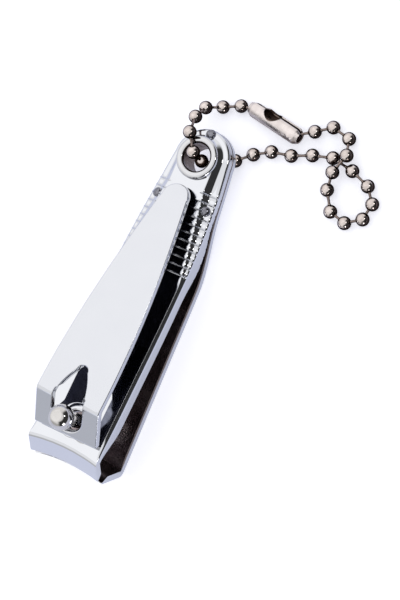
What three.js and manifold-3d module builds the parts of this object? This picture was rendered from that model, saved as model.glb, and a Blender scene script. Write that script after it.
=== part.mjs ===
// Nail clipper with a folding lever, and the ball chain that runs through its eyelet.
// Millimetres, +Z up. The jaws point along -Y and the eyelet stands at +Y.
// The origin lies under the middle of the clipper, on the plane that the lower arm rests on.

import * as THREE from "three";
import { mergeVertices } from "three/addons/utils/BufferGeometryUtils.js";
import Module from "manifold-3d";

const wasm = await Module();
wasm.setup();

// Clipper as a whole
const clipperLength = 68.5;
const jawWidth = 15.2;
const rearWidth = 11.6;
const rearRound = 5.95; // from the eyelet's centre to the rear end
const parallelLength = 37; // from the jaws to where the arms start to taper
const pinFromJaw = 9.15;
const overrun = 1.5; // how far a cutting tool passes through what it cuts
const runningGap = 0.3;

// Lower arm
const lowerSheetJaw = 1.5;
const lowerSheetRear = 1.3;
const rearLift = 3.25; // underside of the rear pad above the rest plane
const footRearFromJaw = 39.25;
const padFrontFromEyelet = 8.3;
const lowerBendFromJaw = 2.15;
const jawWallSheet = 1.3;
const edgeLand = 0.3; // flat left on each cutting edge
const jawBow = 0.75; // how far the middle of the jaws is set back from their corners
const bowLength = 9; // length over which the bow fades out

// Upper arm
const upperSheetJaw = 1.9;
const upperSheetRear = 1.3;
const shoulderDepth = 1.55; // how far the rear's side edges lie below the raised middle strip
const frontShoulderDepth = 0.4;
const stripWidth = 8.6; // at the rear
const frontStripWidth = 13.9;
const fullShoulderFromJaw = 57.25; // the shoulders are full behind this place
const narrowShoulderFromJaw = 39.25; // and narrow ahead of this one
const stepShare = 0.3; // part of the shoulder's width that is steep
const stepDropShare = 0.6; // and its part of the depth
const overhangShare = 0.6; // how far past the side edges the blank's last station lies
const springFromEyelet = 4.3;
const springLength = 34; // stretch over which the arm bends upwards
const armRiseShare = 0.132; // slope of the straight front stretch
const creaseFromJaw = 3.3;
const upperEdgeFromJaw = 0.4;
const jawFaceDrop = 3.5; // height of the upper jaw's front face
const jawGap = 2.2;
const creaseRound = 0.8;

// Grip ribs and pips pressed into the upper arm
const ribCount = 11;
const ribPitch = 1.56;
const ribBase = 0.7;
const ribCrest = 0.3;
const ribHeight = 0.25;
const firstRibFromEyelet = 5.75;
const pipRadius = 0.95;
const pipHeight = 0.65;
const pipSpread = 10.7;
const pipFromEyelet = 8.7;

// Post
const shankRadius = 1.4;
const neckRadius = 1.1;
const footRadius = 2.3;
const footSheet = 0.5;
const footRaise = 0.15;
const footSeatGap = 0.25;
const ballRadius = 2.4;
const ballFlatRadius = 1.05;
const ballAboveBar = 4.35;
const lowerPinGap = 0.35;
const upperPinGap = 0.5;
const collarRadius = 3.4;
const collarHeight = 0.35;

// Lever
const leverWidth = 13.84;
const leverSheet = 1.3;
const leverReach = 47.6; // from the post's axis to the tip
const leverTipGap = 1; // underside of the tip above the raised strip
const tipHalfWidth = 2.7;
const tipRound = 2.6;
const barFromPin = 2.3; // the bar across the flange's end, which is the flip axis
const barWidth = 0.9;
const barSwingGap = 0.15;
const flangeAngle = THREE.MathUtils.degToRad(36.6);
const flangeReach = 7.53; // from the bar's centre to the bend
const bendRound = 0.8;
const openingRadius = 3.4;
const openingAtBend = 3.3; // half width where the opening crosses the bend
const openingTail = 7; // from the bend to the end of the tail
const tailRadius = 1.1;

// Eyelet
const boreRadius = 2.67;
const tubeWall = 0.45;
const rollRadius = 4.17;
const rollHeight = 0.65;
const rollSeat = 0.2;
const lipRadius = 3.95;
const lipHeight = 0.3;

// Ball chain
const beadRadius = 1.3;
const linkRadius = 0.35;
const linkGap = 0.15;
const connectorLength = 11.9;
const connectorRadius = 1.65;
const connectorWall = 0.3;
const connectorSlot = 0.9;
const connectorTilt = THREE.MathUtils.degToRad(31); // how far its slot looks up from the side
const notchRadius = 1.5; // of the round notch across the slot, where a ball goes in
const notchOffset = 1.05; // from the connector's middle towards its first end
const mouthRadius = 0.6; // of the hole where the chain leaves beside the second end
// Centres of the beads, from the one held in the connector's first end, over the rear of the
// clipper, down through the eyelet, out along the table, round the loop and into its other end.
const beadRoute = [
  [4.4, 41.05, 1.67], [1.1, 40.7, 1.3], [-2.3, 39.3, 1.35], [-4.75, 37.9, 3.1],
  [-4.45, 35.4, 6.3], [-2.6, 32.1, 9.8], [-0.8, 28.9, 8.8], [-0.1, 28.1, 5.4],
  [1.25, 28.85, 2.05], [4.4, 30.7, 1.3], [7.3, 33, 1.3], [10.5, 34.7, 1.3],
  [14.5, 35.35, 1.3], [18.4, 36.85, 1.3], [22.4, 37.75, 1.3], [26.9, 36.8, 1.3],
  [30.85, 35.2, 1.3], [33, 32.45, 1.3], [32.4, 29.25, 1.3], [29.4, 27.4, 1.3],
  [26, 28.4, 1.3], [23.75, 31.9, 1.3], [23.8, 35.2, 2.4], [25.1, 39, 2.4],
  [23.85, 42.1, 1.3], [20.1, 43.05, 1.3], [17, 41.1, 1.3], [13.75, 39.15, 1.67],
];

// Places that follow from the sizes above
const jawY = -clipperLength / 2;
const eyeletY = clipperLength / 2 - rearRound;
const rearY = clipperLength / 2;
const pinY = jawY + pinFromJaw;
const jawHalf = jawWidth / 2;
const rearHalf = rearWidth / 2;
const taperY = jawY + parallelLength;
const creaseY = jawY + creaseFromJaw;
const springRearY = eyeletY - springFromEyelet;
const springFrontY = springRearY - springLength;
const lowerPadTop = rearLift + lowerSheetRear;
const stripTop = lowerPadTop + runningGap + upperSheetRear + shoulderDepth;
const creaseZ = upperTop(creaseY);
const upperEdge = new THREE.Vector2(jawY + upperEdgeFromJaw, creaseZ - jawFaceDrop);
const lowerEdge = new THREE.Vector2(jawY, upperEdge.y - jawGap);
const barReach = Math.hypot(barWidth, leverSheet) / 2;
const barY = pinY - barFromPin;
const barZ = creaseZ + barSwingGap + barReach;

// Finishes
const armFinish = { color: 0xc9cdd4, roughness: 0.12, metalness: 1 };
const leverFinish = { color: 0xe2e5ea, roughness: 0.16, metalness: 1 };
const postFinish = { color: 0xbfc0c2, roughness: 0.2, metalness: 1 };
const eyeletFinish = { color: 0xc4c6c9, roughness: 0.18, metalness: 1 };
const chainFinish = { color: 0xb3aca4, roughness: 0.25, metalness: 1 };
const connectorFinish = { color: 0xb8b6b2, roughness: 0.35, metalness: 1 };

// Height of the upper arm's raised middle strip at a place along the clipper.
function upperTop(y) {
  const bent = THREE.MathUtils.clamp(springRearY - y, 0, springLength);
  const straight = Math.max(springFrontY - y, 0);
  return stripTop + armRiseShare * (bent * bent / (2 * springLength) + straight);
}

function upperSheet(y) {
  const share = THREE.MathUtils.clamp((springRearY - y) / (springRearY - creaseY), 0, 1);
  return THREE.MathUtils.lerp(upperSheetRear, upperSheetJaw, share);
}

function lowerShare(y) {
  return THREE.MathUtils.smoothstep(y, jawY + footRearFromJaw, eyeletY - padFrontFromEyelet);
}

function armHalfWidth(y) {
  const share = THREE.MathUtils.clamp((y - taperY) / (eyeletY - taperY), 0, 1);
  return THREE.MathUtils.lerp(jawHalf, rearHalf, share * share);
}

// Share of the full shoulder at a place along the clipper: 0 at the front, 1 at the rear.
function shoulderShare(y) {
  const fromJaw = y - jawY;
  const length = fullShoulderFromJaw - narrowShoulderFromJaw;
  return THREE.MathUtils.clamp((fromJaw - narrowShoulderFromJaw) / length, 0, 1);
}

function stripEdge(y) {
  return THREE.MathUtils.lerp(frontStripWidth, stripWidth, shoulderShare(y)) / 2;
}

// Depth of the shoulder, a short step and a gentler slope, that runs round the raised strip and
// its round rear end, and fades out over the bowed jaw.
function shoulderDrop(x, y) {
  const reach = Math.hypot(x, Math.max(y - eyeletY, 0));
  const edge = stripEdge(y);
  const across = Math.max(reach - edge, 0) / (armHalfWidth(y) - edge);
  const step = Math.min(across / stepShare, 1) * stepDropShare;
  const slope = Math.max(across - stepShare, 0) / (1 - stepShare) * (1 - stepDropShare);
  const depth = THREE.MathUtils.lerp(frontShoulderDepth, shoulderDepth, shoulderShare(y));
  return depth * (step + slope) * THREE.MathUtils.smoothstep(y, creaseY, creaseY + bowLength);
}

// Place across the arm of a station: up to 1 it lies on the strip, and past 1 on the shoulder.
function stationX(station, y) {
  const edge = stripEdge(y);
  const beyond = Math.max(Math.abs(station) - 1, 0) * (armHalfWidth(y) - edge);
  return Math.sign(station) * (Math.min(Math.abs(station), 1) * edge + beyond);
}

// The jaws are bowed in plan: their middle is set back towards the eyelet.
function jawSetBack(x, y) {
  const share = 1 - THREE.MathUtils.smoothstep(y, creaseY, creaseY + bowLength);
  return jawBow * (1 - (x / jawHalf) ** 2) * share;
}

// Turns a closed three.js geometry into a solid that can be joined and cut.
function solidOf(geometry) {
  const bare = geometry.clone();
  bare.deleteAttribute("normal");
  bare.deleteAttribute("uv");
  const merged = mergeVertices(bare);
  const corners = merged.getAttribute("position");
  const triVerts = Uint32Array.from(merged.getIndex().array);
  const [a, b, c] = [new THREE.Vector3(), new THREE.Vector3(), new THREE.Vector3()];
  let volume = 0;
  for (let i = 0; i < triVerts.length; i += 3) {
    a.fromBufferAttribute(corners, triVerts[i]);
    b.fromBufferAttribute(corners, triVerts[i + 1]);
    c.fromBufferAttribute(corners, triVerts[i + 2]);
    volume += a.dot(b.cross(c));
  }
  if (volume < 0) triVerts.reverse();
  const vertProperties = Float32Array.from(corners.array);
  return new wasm.Manifold(new wasm.Mesh({ numProp: 3, vertProperties, triVerts }));
}

function geometryOf(solid) {
  const mesh = solid.getMesh();
  const geometry = new THREE.BufferGeometry();
  geometry.setAttribute("position", new THREE.BufferAttribute(mesh.vertProperties, mesh.numProp));
  geometry.setIndex(new THREE.BufferAttribute(mesh.triVerts, 1));
  geometry.computeVertexNormals();
  return geometry;
}

function named(name, solid, finish) {
  const mesh = new THREE.Mesh(geometryOf(solid), new THREE.MeshStandardMaterial(finish));
  mesh.name = name;
  return mesh;
}

// Lofts a side profile, a closed list of (y, z) points running anticlockwise as seen from +X,
// across a list of stations. The place function moves each point to its final position.
function bentPlate(profile, stations, place) {
  const points = [];
  for (const station of stations) {
    for (const p of profile) points.push(...place(station, p.x, p.y));
  }
  const count = profile.length;
  const faces = [];
  for (let j = 0; j + 1 < stations.length; j += 1) {
    for (let i = 0; i < count; i += 1) {
      const here = j * count + i;
      const next = j * count + (i + 1) % count;
      faces.push(here, next, next + count, here, next + count, here + count);
    }
  }
  const last = (stations.length - 1) * count;
  for (const [p, q, r] of THREE.ShapeUtils.triangulateShape(profile, [])) {
    faces.push(r, q, p, last + p, last + q, last + r);
  }
  const geometry = new THREE.BufferGeometry();
  geometry.setAttribute("position", new THREE.Float32BufferAttribute(points, 3));
  geometry.setIndex(faces);
  return solidOf(geometry);
}

function prism(shape, low, high, curveSegments) {
  const geometry = new THREE.ExtrudeGeometry(shape, { depth: high - low, bevelEnabled: false, curveSegments });
  return geometry.translate(0, 0, low);
}

function turned(profile, sides) {
  const points = profile.map(([r, z]) => new THREE.Vector2(r, z));
  return new THREE.LatheGeometry(points, sides).rotateX(Math.PI / 2);
}

function rod(radius, low, high, sides) {
  const geometry = new THREE.CylinderGeometry(radius, radius, high - low, sides);
  return geometry.rotateX(Math.PI / 2).translate(0, 0, (low + high) / 2);
}

// Places spread evenly from one value to another, both ends included.
function spread(from, to, steps) {
  return Array.from({ length: steps + 1 }, (_, i) => THREE.MathUtils.lerp(from, to, i / steps));
}

function mirrored(half) {
  return [...half.slice(1).reverse().map((x) => -x), ...half];
}

// Point where two lines cross, each given by a point and a direction.
function crossing(p, d, q, e) {
  const share = ((q.x - p.x) * e.y - (q.y - p.y) * e.x) / (d.x * e.y - d.y * e.x);
  return p.clone().addScaledVector(d, share);
}

// A rounded corner between two straight stretches, starting and ending at a set-back from it.
function corner(before, at, after, setBack) {
  const start = at.clone().lerp(before, setBack / at.distanceTo(before));
  const end = at.clone().lerp(after, setBack / at.distanceTo(after));
  return new THREE.QuadraticBezierCurve(start, at, end).getPoints(4);
}

// Plan outline shared by both arms: parallel at the jaws, tapering to a round rear end.
function armOutline() {
  const shape = new THREE.Shape();
  const middle = (taperY + eyeletY) / 2;
  shape.moveTo(-jawHalf, jawY - overrun);
  shape.lineTo(jawHalf, jawY - overrun);
  shape.lineTo(jawHalf, taperY);
  shape.quadraticCurveTo(jawHalf, middle, rearHalf, eyeletY);
  shape.absellipse(0, eyeletY, rearHalf, rearRound, 0, Math.PI);
  shape.quadraticCurveTo(-jawHalf, middle, -jawHalf, taperY);
  return shape;
}

function armBlank(profile, stations, place) {
  const plate = bentPlate(profile, stations, place);
  const outline = prism(armOutline(), -overrun, creaseZ + overrun, 12);
  return plate.intersect(solidOf(outline));
}

function pinHole(radius) {
  return solidOf(rod(radius, -overrun, barZ, 24).translate(0, pinY, 0));
}

function eyeletHole() {
  const radius = boreRadius + tubeWall + runningGap;
  return solidOf(rod(radius, -overrun, barZ, 32).translate(0, eyeletY, 0));
}

// Lower arm: a flat foot, a rise to the rear pad, and a jaw wall that stands up to its edge.
function lowerProfile() {
  const under = (y) => rearLift * lowerShare(y);
  const sheet = (y) => THREE.MathUtils.lerp(lowerSheetJaw, lowerSheetRear, lowerShare(y));
  const footRearY = jawY + footRearFromJaw;
  const padFrontY = eyeletY - padFrontFromEyelet;
  const places = [
    ...spread(rearY + overrun, padFrontY, 2),
    ...spread(padFrontY, footRearY, 8).slice(1),
    ...spread(footRearY, creaseY + bowLength, 2).slice(1),
    ...spread(creaseY + bowLength, creaseY, 4).slice(1),
  ];
  const bend = new THREE.Vector2(jawY + lowerBendFromJaw, 0);
  const up = lowerEdge.clone().sub(bend).normalize();
  const inward = new THREE.Vector2(up.y, -up.x);
  const floor = new THREE.Vector2(0, lowerSheetJaw);
  const along = new THREE.Vector2(1, 0);
  const inner = crossing(bend.clone().addScaledVector(inward, jawWallSheet), up, floor, along);
  const top = places.filter((y) => y > inner.x).map((y) => new THREE.Vector2(y, under(y) + sheet(y)));
  const bottom = places.map((y) => new THREE.Vector2(y, under(y))).reverse();
  return [
    ...top,
    inner,
    lowerEdge.clone().addScaledVector(inward, edgeLand),
    lowerEdge,
    ...corner(lowerEdge, bend, bottom[0], creaseRound),
    ...bottom,
  ];
}

function lowerArm() {
  const stations = mirrored(spread(0, jawHalf + overrun, 6));
  const blank = armBlank(lowerProfile(), stations, (x, y, z) => [x, y + jawSetBack(x, y), z]);
  const recessDepth = footRaise + footSheet + footSeatGap;
  const recess = rod(footRadius + runningGap, -overrun, recessDepth, 24).translate(0, pinY, 0);
  return blank
    .subtract(pinHole(shankRadius + lowerPinGap))
    .subtract(eyeletHole())
    .subtract(solidOf(recess));
}

// Top line of the upper arm from the rear end to the crease, with a flat-topped ridge per rib.
function ribbedTop() {
  const line = [];
  const firstRib = eyeletY - firstRibFromEyelet;
  const lastRib = firstRib - (ribCount - 1) * ribPitch;
  for (const y of spread(rearY + overrun, firstRib + ribPitch, 8)) line.push([y, 0]);
  for (let k = 0; k < ribCount; k += 1) {
    const middle = firstRib - k * ribPitch;
    line.push([middle + ribBase / 2, 0], [middle + ribCrest / 2, ribHeight]);
    line.push([middle - ribCrest / 2, ribHeight], [middle - ribBase / 2, 0]);
  }
  for (const y of spread(lastRib - ribPitch, springFrontY, 4)) line.push([y, 0]);
  for (const y of spread(springFrontY, creaseY + bowLength, 1).slice(1)) line.push([y, 0]);
  for (const y of spread(creaseY + bowLength, creaseY, 4).slice(1, -1)) line.push([y, 0]);
  return line.map(([y, lift]) => new THREE.Vector2(y, upperTop(y) + lift));
}

function upperProfile() {
  const top = ribbedTop();
  const crease = new THREE.Vector2(creaseY, creaseZ);
  const down = upperEdge.clone().sub(crease).normalize();
  const inward = new THREE.Vector2(-down.y, down.x);
  const under = (y) => new THREE.Vector2(y, upperTop(y) - upperSheet(y));
  const slope = new THREE.Vector2(1, -armRiseShare);
  const wall = crease.clone().addScaledVector(inward, jawWallSheet);
  const inner = crossing(wall, down, under(creaseY), slope);
  const places = [
    ...spread(creaseY + bowLength, springFrontY, 1),
    ...spread(springFrontY, springRearY, 8).slice(1),
    ...spread(springRearY, rearY + overrun, 6).slice(1),
  ];
  const bowed = spread(inner.x, creaseY + bowLength, 3).slice(1, -1);
  return [
    ...top,
    ...corner(top[top.length - 1], crease, upperEdge, creaseRound),
    upperEdge,
    upperEdge.clone().addScaledVector(inward, edgeLand),
    inner,
    ...bowed.map(under),
    ...places.map(under),
  ];
}

// Small round knobs: a pair on the shoulders beside the lever's tip, and one at the rear end.
function pips() {
  const sideY = eyeletY - pipFromEyelet;
  const places = [[-pipSpread / 2, sideY], [pipSpread / 2, sideY], [0, rearY - pipRadius]];
  return places.map(([x, y]) => {
    const surface = upperTop(y) - shoulderDrop(x, y);
    const ball = new THREE.SphereGeometry(pipRadius, 12, 8);
    return solidOf(ball.translate(x, y, surface + pipHeight - pipRadius));
  });
}

// Raised round seat round the post's hole, square to the sloping front of the arm.
function collar() {
  const disc = rod(collarRadius, -upperSheetJaw / 2, collarHeight, 32);
  disc.rotateX(-Math.atan(armRiseShare));
  return solidOf(disc.translate(0, pinY, upperTop(pinY)));
}

function upperArm() {
  const place = (station, y, z) => {
    const x = stationX(station, y);
    return [x, y + jawSetBack(x, y), z - shoulderDrop(x, y)];
  };
  const stations = mirrored([...spread(0, 1, 4), 1 + stepShare, 2 + overhangShare]);
  let arm = armBlank(upperProfile(), stations, place).add(collar());
  for (const pip of pips()) arm = arm.add(pip);
  return arm.subtract(pinHole(shankRadius + upperPinGap)).subtract(eyeletHole());
}

// Sides of the lever's sheet, measured from the bar that it flips about.
function leverFrame() {
  const flange = new THREE.Vector2(Math.cos(flangeAngle), Math.sin(flangeAngle));
  const outward = new THREE.Vector2(-flange.y, flange.x);
  const bend = flange.clone().multiplyScalar(flangeReach).addScaledVector(outward, leverSheet / 2);
  const tip = new THREE.Vector2(leverReach + barFromPin, stripTop + leverTipGap + leverSheet - barZ);
  const plate = tip.clone().sub(bend).normalize();
  return { flange, outward, bend, tip, plate };
}

function leverProfile() {
  const { flange, outward, bend, tip, plate } = leverFrame();
  const end = flange.clone().multiplyScalar(-barWidth / 2);
  const endTop = end.clone().addScaledVector(outward, leverSheet / 2);
  const endUnder = end.clone().addScaledVector(outward, -leverSheet / 2);
  const down = new THREE.Vector2(plate.y, -plate.x);
  const tipTop = tip.clone().addScaledVector(plate, overrun);
  const tipUnder = tipTop.clone().addScaledVector(down, leverSheet);
  const inner = crossing(endUnder, flange, tipUnder, plate);
  return [tipTop, ...corner(tipTop, bend, endTop, bendRound), endTop, endUnder, inner, tipUnder];
}

function leverOutline() {
  const { bend, tip } = leverFrame();
  const half = leverWidth / 2;
  const shoulderY = tip.x - tipRound;
  const length = shoulderY - bend.x;
  const [leaveShare, arriveShare, flareShare] = [0.33, 0.35, 0.064];
  const shape = new THREE.Shape();
  shape.moveTo(-half, -bend.x);
  shape.lineTo(half, -bend.x);
  shape.lineTo(half, bend.x);
  const leaveY = bend.x + length * leaveShare;
  const arriveY = shoulderY - length * arriveShare;
  const arriveX = tipHalfWidth + length * flareShare;
  shape.bezierCurveTo(half, leaveY, arriveX, arriveY, tipHalfWidth, shoulderY);
  shape.absellipse(0, shoulderY, tipHalfWidth, tipRound, 0, Math.PI);
  shape.bezierCurveTo(-arriveX, arriveY, -half, leaveY, -half, bend.x);
  return shape;
}

// Cutter square to one leg of the lever's sheet, drawn with its own Y running along that leg.
function legCutter(shape, legDirection, origin) {
  const cutter = prism(shape, -leverSheet - overrun, leverSheet + overrun, 10);
  const x = new THREE.Vector3(1, 0, 0);
  const y = new THREE.Vector3(0, legDirection.x, legDirection.y);
  const z = x.clone().cross(y);
  cutter.applyMatrix4(new THREE.Matrix4().makeBasis(x, y, z).setPosition(0, origin.x, origin.y));
  return solidOf(cutter);
}

// The round end of the opening lies in the flange, and its narrowing tail in the plate.
function leverOpening() {
  const { flange, bend, plate } = leverFrame();
  const centre = flangeReach - barWidth / 2 - openingRadius;
  const round = new THREE.Shape();
  round.moveTo(openingAtBend, -creaseRound);
  round.lineTo(openingRadius, centre);
  round.absarc(0, centre, openingRadius, 0, Math.PI);
  round.lineTo(-openingAtBend, -creaseRound);
  const tail = new THREE.Shape();
  const tailY = openingTail - tailRadius;
  const sideShare = 0.9;
  tail.moveTo(openingAtBend, -creaseRound);
  tail.quadraticCurveTo(openingAtBend * sideShare, tailY / 2, tailRadius, tailY);
  tail.absarc(0, tailY, tailRadius, 0, Math.PI);
  tail.quadraticCurveTo(-openingAtBend * sideShare, tailY / 2, -openingAtBend, -creaseRound);
  return legCutter(round, flange.clone().negate(), bend).add(legCutter(tail, plate, bend));
}

function lever() {
  const half = leverWidth / 2 + overrun;
  const plate = bentPlate(leverProfile(), [-half, half], (x, y, z) => [x, y, z]);
  const outline = solidOf(prism(leverOutline(), -barZ, barZ, 12));
  return plate.intersect(outline).subtract(leverOpening());
}

// Post: a foot under the lower arm, a shank through both arms, a neck and a flat-topped ball.
function post() {
  const centre = barZ + ballAboveBar;
  const shankTop = barZ - barReach;
  const low = -Math.acos(neckRadius / ballRadius);
  const high = Math.acos(ballFlatRadius / ballRadius);
  const ball = spread(low, high, 10).map((a) => [ballRadius * Math.cos(a), centre + ballRadius * Math.sin(a)]);
  const top = ball[ball.length - 1][1];
  const profile = [
    [0, footRaise],
    [footRadius, footRaise],
    [footRadius, footRaise + footSheet],
    [shankRadius, footRaise + footSheet],
    [shankRadius, shankTop],
    [neckRadius, shankTop + shankRadius - neckRadius],
    ...ball,
    [0, top],
  ];
  return solidOf(turned(profile, 24));
}

// Eyelet: a tube through both arms, with a thick roll on top and a thin lip below.
function eyelet() {
  const outer = boreRadius + tubeWall;
  const rollFoot = stripTop + runningGap / 2;
  const lipTop = rearLift - runningGap;
  const half = (from, to, reach, base, height) => spread(from, to, 8).map((a) => {
    const middle = (reach + boreRadius) / 2;
    const spanHalf = (reach - boreRadius) / 2;
    return [middle + spanHalf * Math.cos(a), base + height * Math.sin(a)];
  });
  const roll = half(0, Math.PI, rollRadius, rollFoot + rollSeat, rollHeight);
  const lip = half(-Math.PI, 0, lipRadius, lipTop, lipHeight);
  const profile = [[outer, lipTop], [outer, rollFoot], [rollRadius - rollSeat, rollFoot], ...roll, ...lip];
  return solidOf(turned([...profile, profile[0]], 32));
}

// A ball, fused with the link that leaves it towards the next ball along +Z.
function bead(linkLength) {
  const ball = solidOf(new THREE.SphereGeometry(beadRadius, 10, 7));
  if (linkLength === 0) return ball;
  return ball.add(solidOf(rod(linkRadius, 0, linkLength, 6)));
}

// Connector: a tube rolled from sheet, open along its side, which holds the chain's last balls.
// The last ball's place along the tube and the direction in which the chain leaves it are given.
function connector(lastBall, leaving) {
  const open = Math.asin(connectorSlot / 2 / connectorRadius);
  const inside = connectorRadius - connectorWall;
  const shape = new THREE.Shape();
  shape.absarc(0, 0, connectorRadius, open, 2 * Math.PI - open);
  shape.absarc(0, 0, inside, 2 * Math.PI - open, open, true);
  const tube = solidOf(prism(shape, -connectorLength / 2, connectorLength / 2, 10));
  const notch = rod(notchRadius, 0, connectorRadius + overrun, 24).rotateY(Math.PI / 2);
  const mouth = rod(mouthRadius, 0, connectorRadius + overrun, 12);
  mouth.applyQuaternion(new THREE.Quaternion().setFromUnitVectors(new THREE.Vector3(0, 0, 1), leaving));
  return tube
    .subtract(solidOf(notch.translate(0, 0, -notchOffset)))
    .subtract(solidOf(mouth.translate(0, 0, lastBall)));
}

function ballChain() {
  const chain = new THREE.Group();
  const centres = beadRoute.map(([x, y, z]) => new THREE.Vector3(x, y, z));
  const upward = new THREE.Vector3(0, 0, 1);
  centres.forEach((centre, i) => {
    const next = centres[i + 1];
    const linkLength = next ? centre.distanceTo(next) - beadRadius - linkGap : 0;
    const mesh = named(`bead_${String(i + 1).padStart(2, "0")}`, bead(linkLength), chainFinish);
    mesh.position.copy(centre);
    if (next) mesh.quaternion.setFromUnitVectors(upward, next.clone().sub(centre).normalize());
    chain.add(mesh);
  });
  const first = centres[0];
  const last = centres[centres.length - 1];
  const along = last.clone().sub(first).normalize();
  const side = upward.clone().cross(along).applyAxisAngle(along, connectorTilt);
  const basis = new THREE.Matrix4().makeBasis(side, along.clone().cross(side), along);
  const turn = new THREE.Quaternion().setFromRotationMatrix(basis);
  const leaving = centres[centres.length - 2].clone().sub(last).normalize();
  leaving.applyQuaternion(turn.clone().invert());
  const tube = connector(first.distanceTo(last) / 2, leaving);
  const body = named("chain_connector", tube, connectorFinish);
  body.position.copy(first).lerp(last, 0.5);
  body.quaternion.copy(turn);
  chain.add(body);
  return chain;
}

const group = new THREE.Group();
group.add(named("lower_arm", lowerArm(), armFinish));
group.add(named("upper_arm", upperArm(), armFinish));

const pin = new THREE.Group();
pin.position.set(0, pinY, 0);
pin.add(named("post", post(), postFinish));
const flip = new THREE.Group();
flip.position.set(0, -barFromPin, barZ);
flip.add(named("lever", lever(), leverFinish));
pin.add(flip);
group.add(pin);

const rivet = named("eyelet", eyelet(), eyeletFinish);
rivet.position.set(0, eyeletY, 0);
group.add(rivet);
group.add(ballChain());

export default group;
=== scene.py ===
"""Looks of a nail clipper with a folding lever and a ball chain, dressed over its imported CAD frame.

Sizes in the classes are in millimetres, in the clipper's own frame: the jaws point along -Y, the
eyelet stands at +Y and Z rises from the table. The bench turns them into Blender's metres.
"""

import logging
import math
from dataclasses import dataclass
from enum import Enum
from typing import Callable, Sequence

import bmesh
import bpy
from mathutils import Matrix, Vector


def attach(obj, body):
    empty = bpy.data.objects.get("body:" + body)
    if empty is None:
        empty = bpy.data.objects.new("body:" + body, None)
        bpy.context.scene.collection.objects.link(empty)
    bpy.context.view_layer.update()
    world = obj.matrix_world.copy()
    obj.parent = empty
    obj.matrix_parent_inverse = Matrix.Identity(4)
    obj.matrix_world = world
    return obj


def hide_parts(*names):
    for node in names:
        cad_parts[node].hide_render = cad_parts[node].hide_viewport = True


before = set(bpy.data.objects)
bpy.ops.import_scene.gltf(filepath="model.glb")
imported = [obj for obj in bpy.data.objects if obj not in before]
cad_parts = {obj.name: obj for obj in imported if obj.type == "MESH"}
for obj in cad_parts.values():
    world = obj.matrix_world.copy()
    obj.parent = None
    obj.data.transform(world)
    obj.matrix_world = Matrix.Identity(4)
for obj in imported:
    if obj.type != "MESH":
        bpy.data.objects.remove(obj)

MM: float = 0.001
THROUGH: float = 30.0
UP: Vector = Vector((0, 0, 1))
log: logging.Logger = logging.getLogger("nail_clipper")

Piece = bpy.types.Object
Point = Sequence[float]
Form = Callable[[Vector], Vector]
Test = Callable[[Vector], bool]
FaceTest = Callable[[Vector, Vector], bool]


class Pick(Enum):
    """Kinds of mesh element that the bench can select."""

    CORNERS = "VERT"
    EDGES = "EDGE"
    FACES = "FACE"


class Cut(Enum):
    """Ways in which one solid acts on another."""

    AWAY = "DIFFERENCE"
    DOWN_TO = "INTERSECT"


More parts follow.
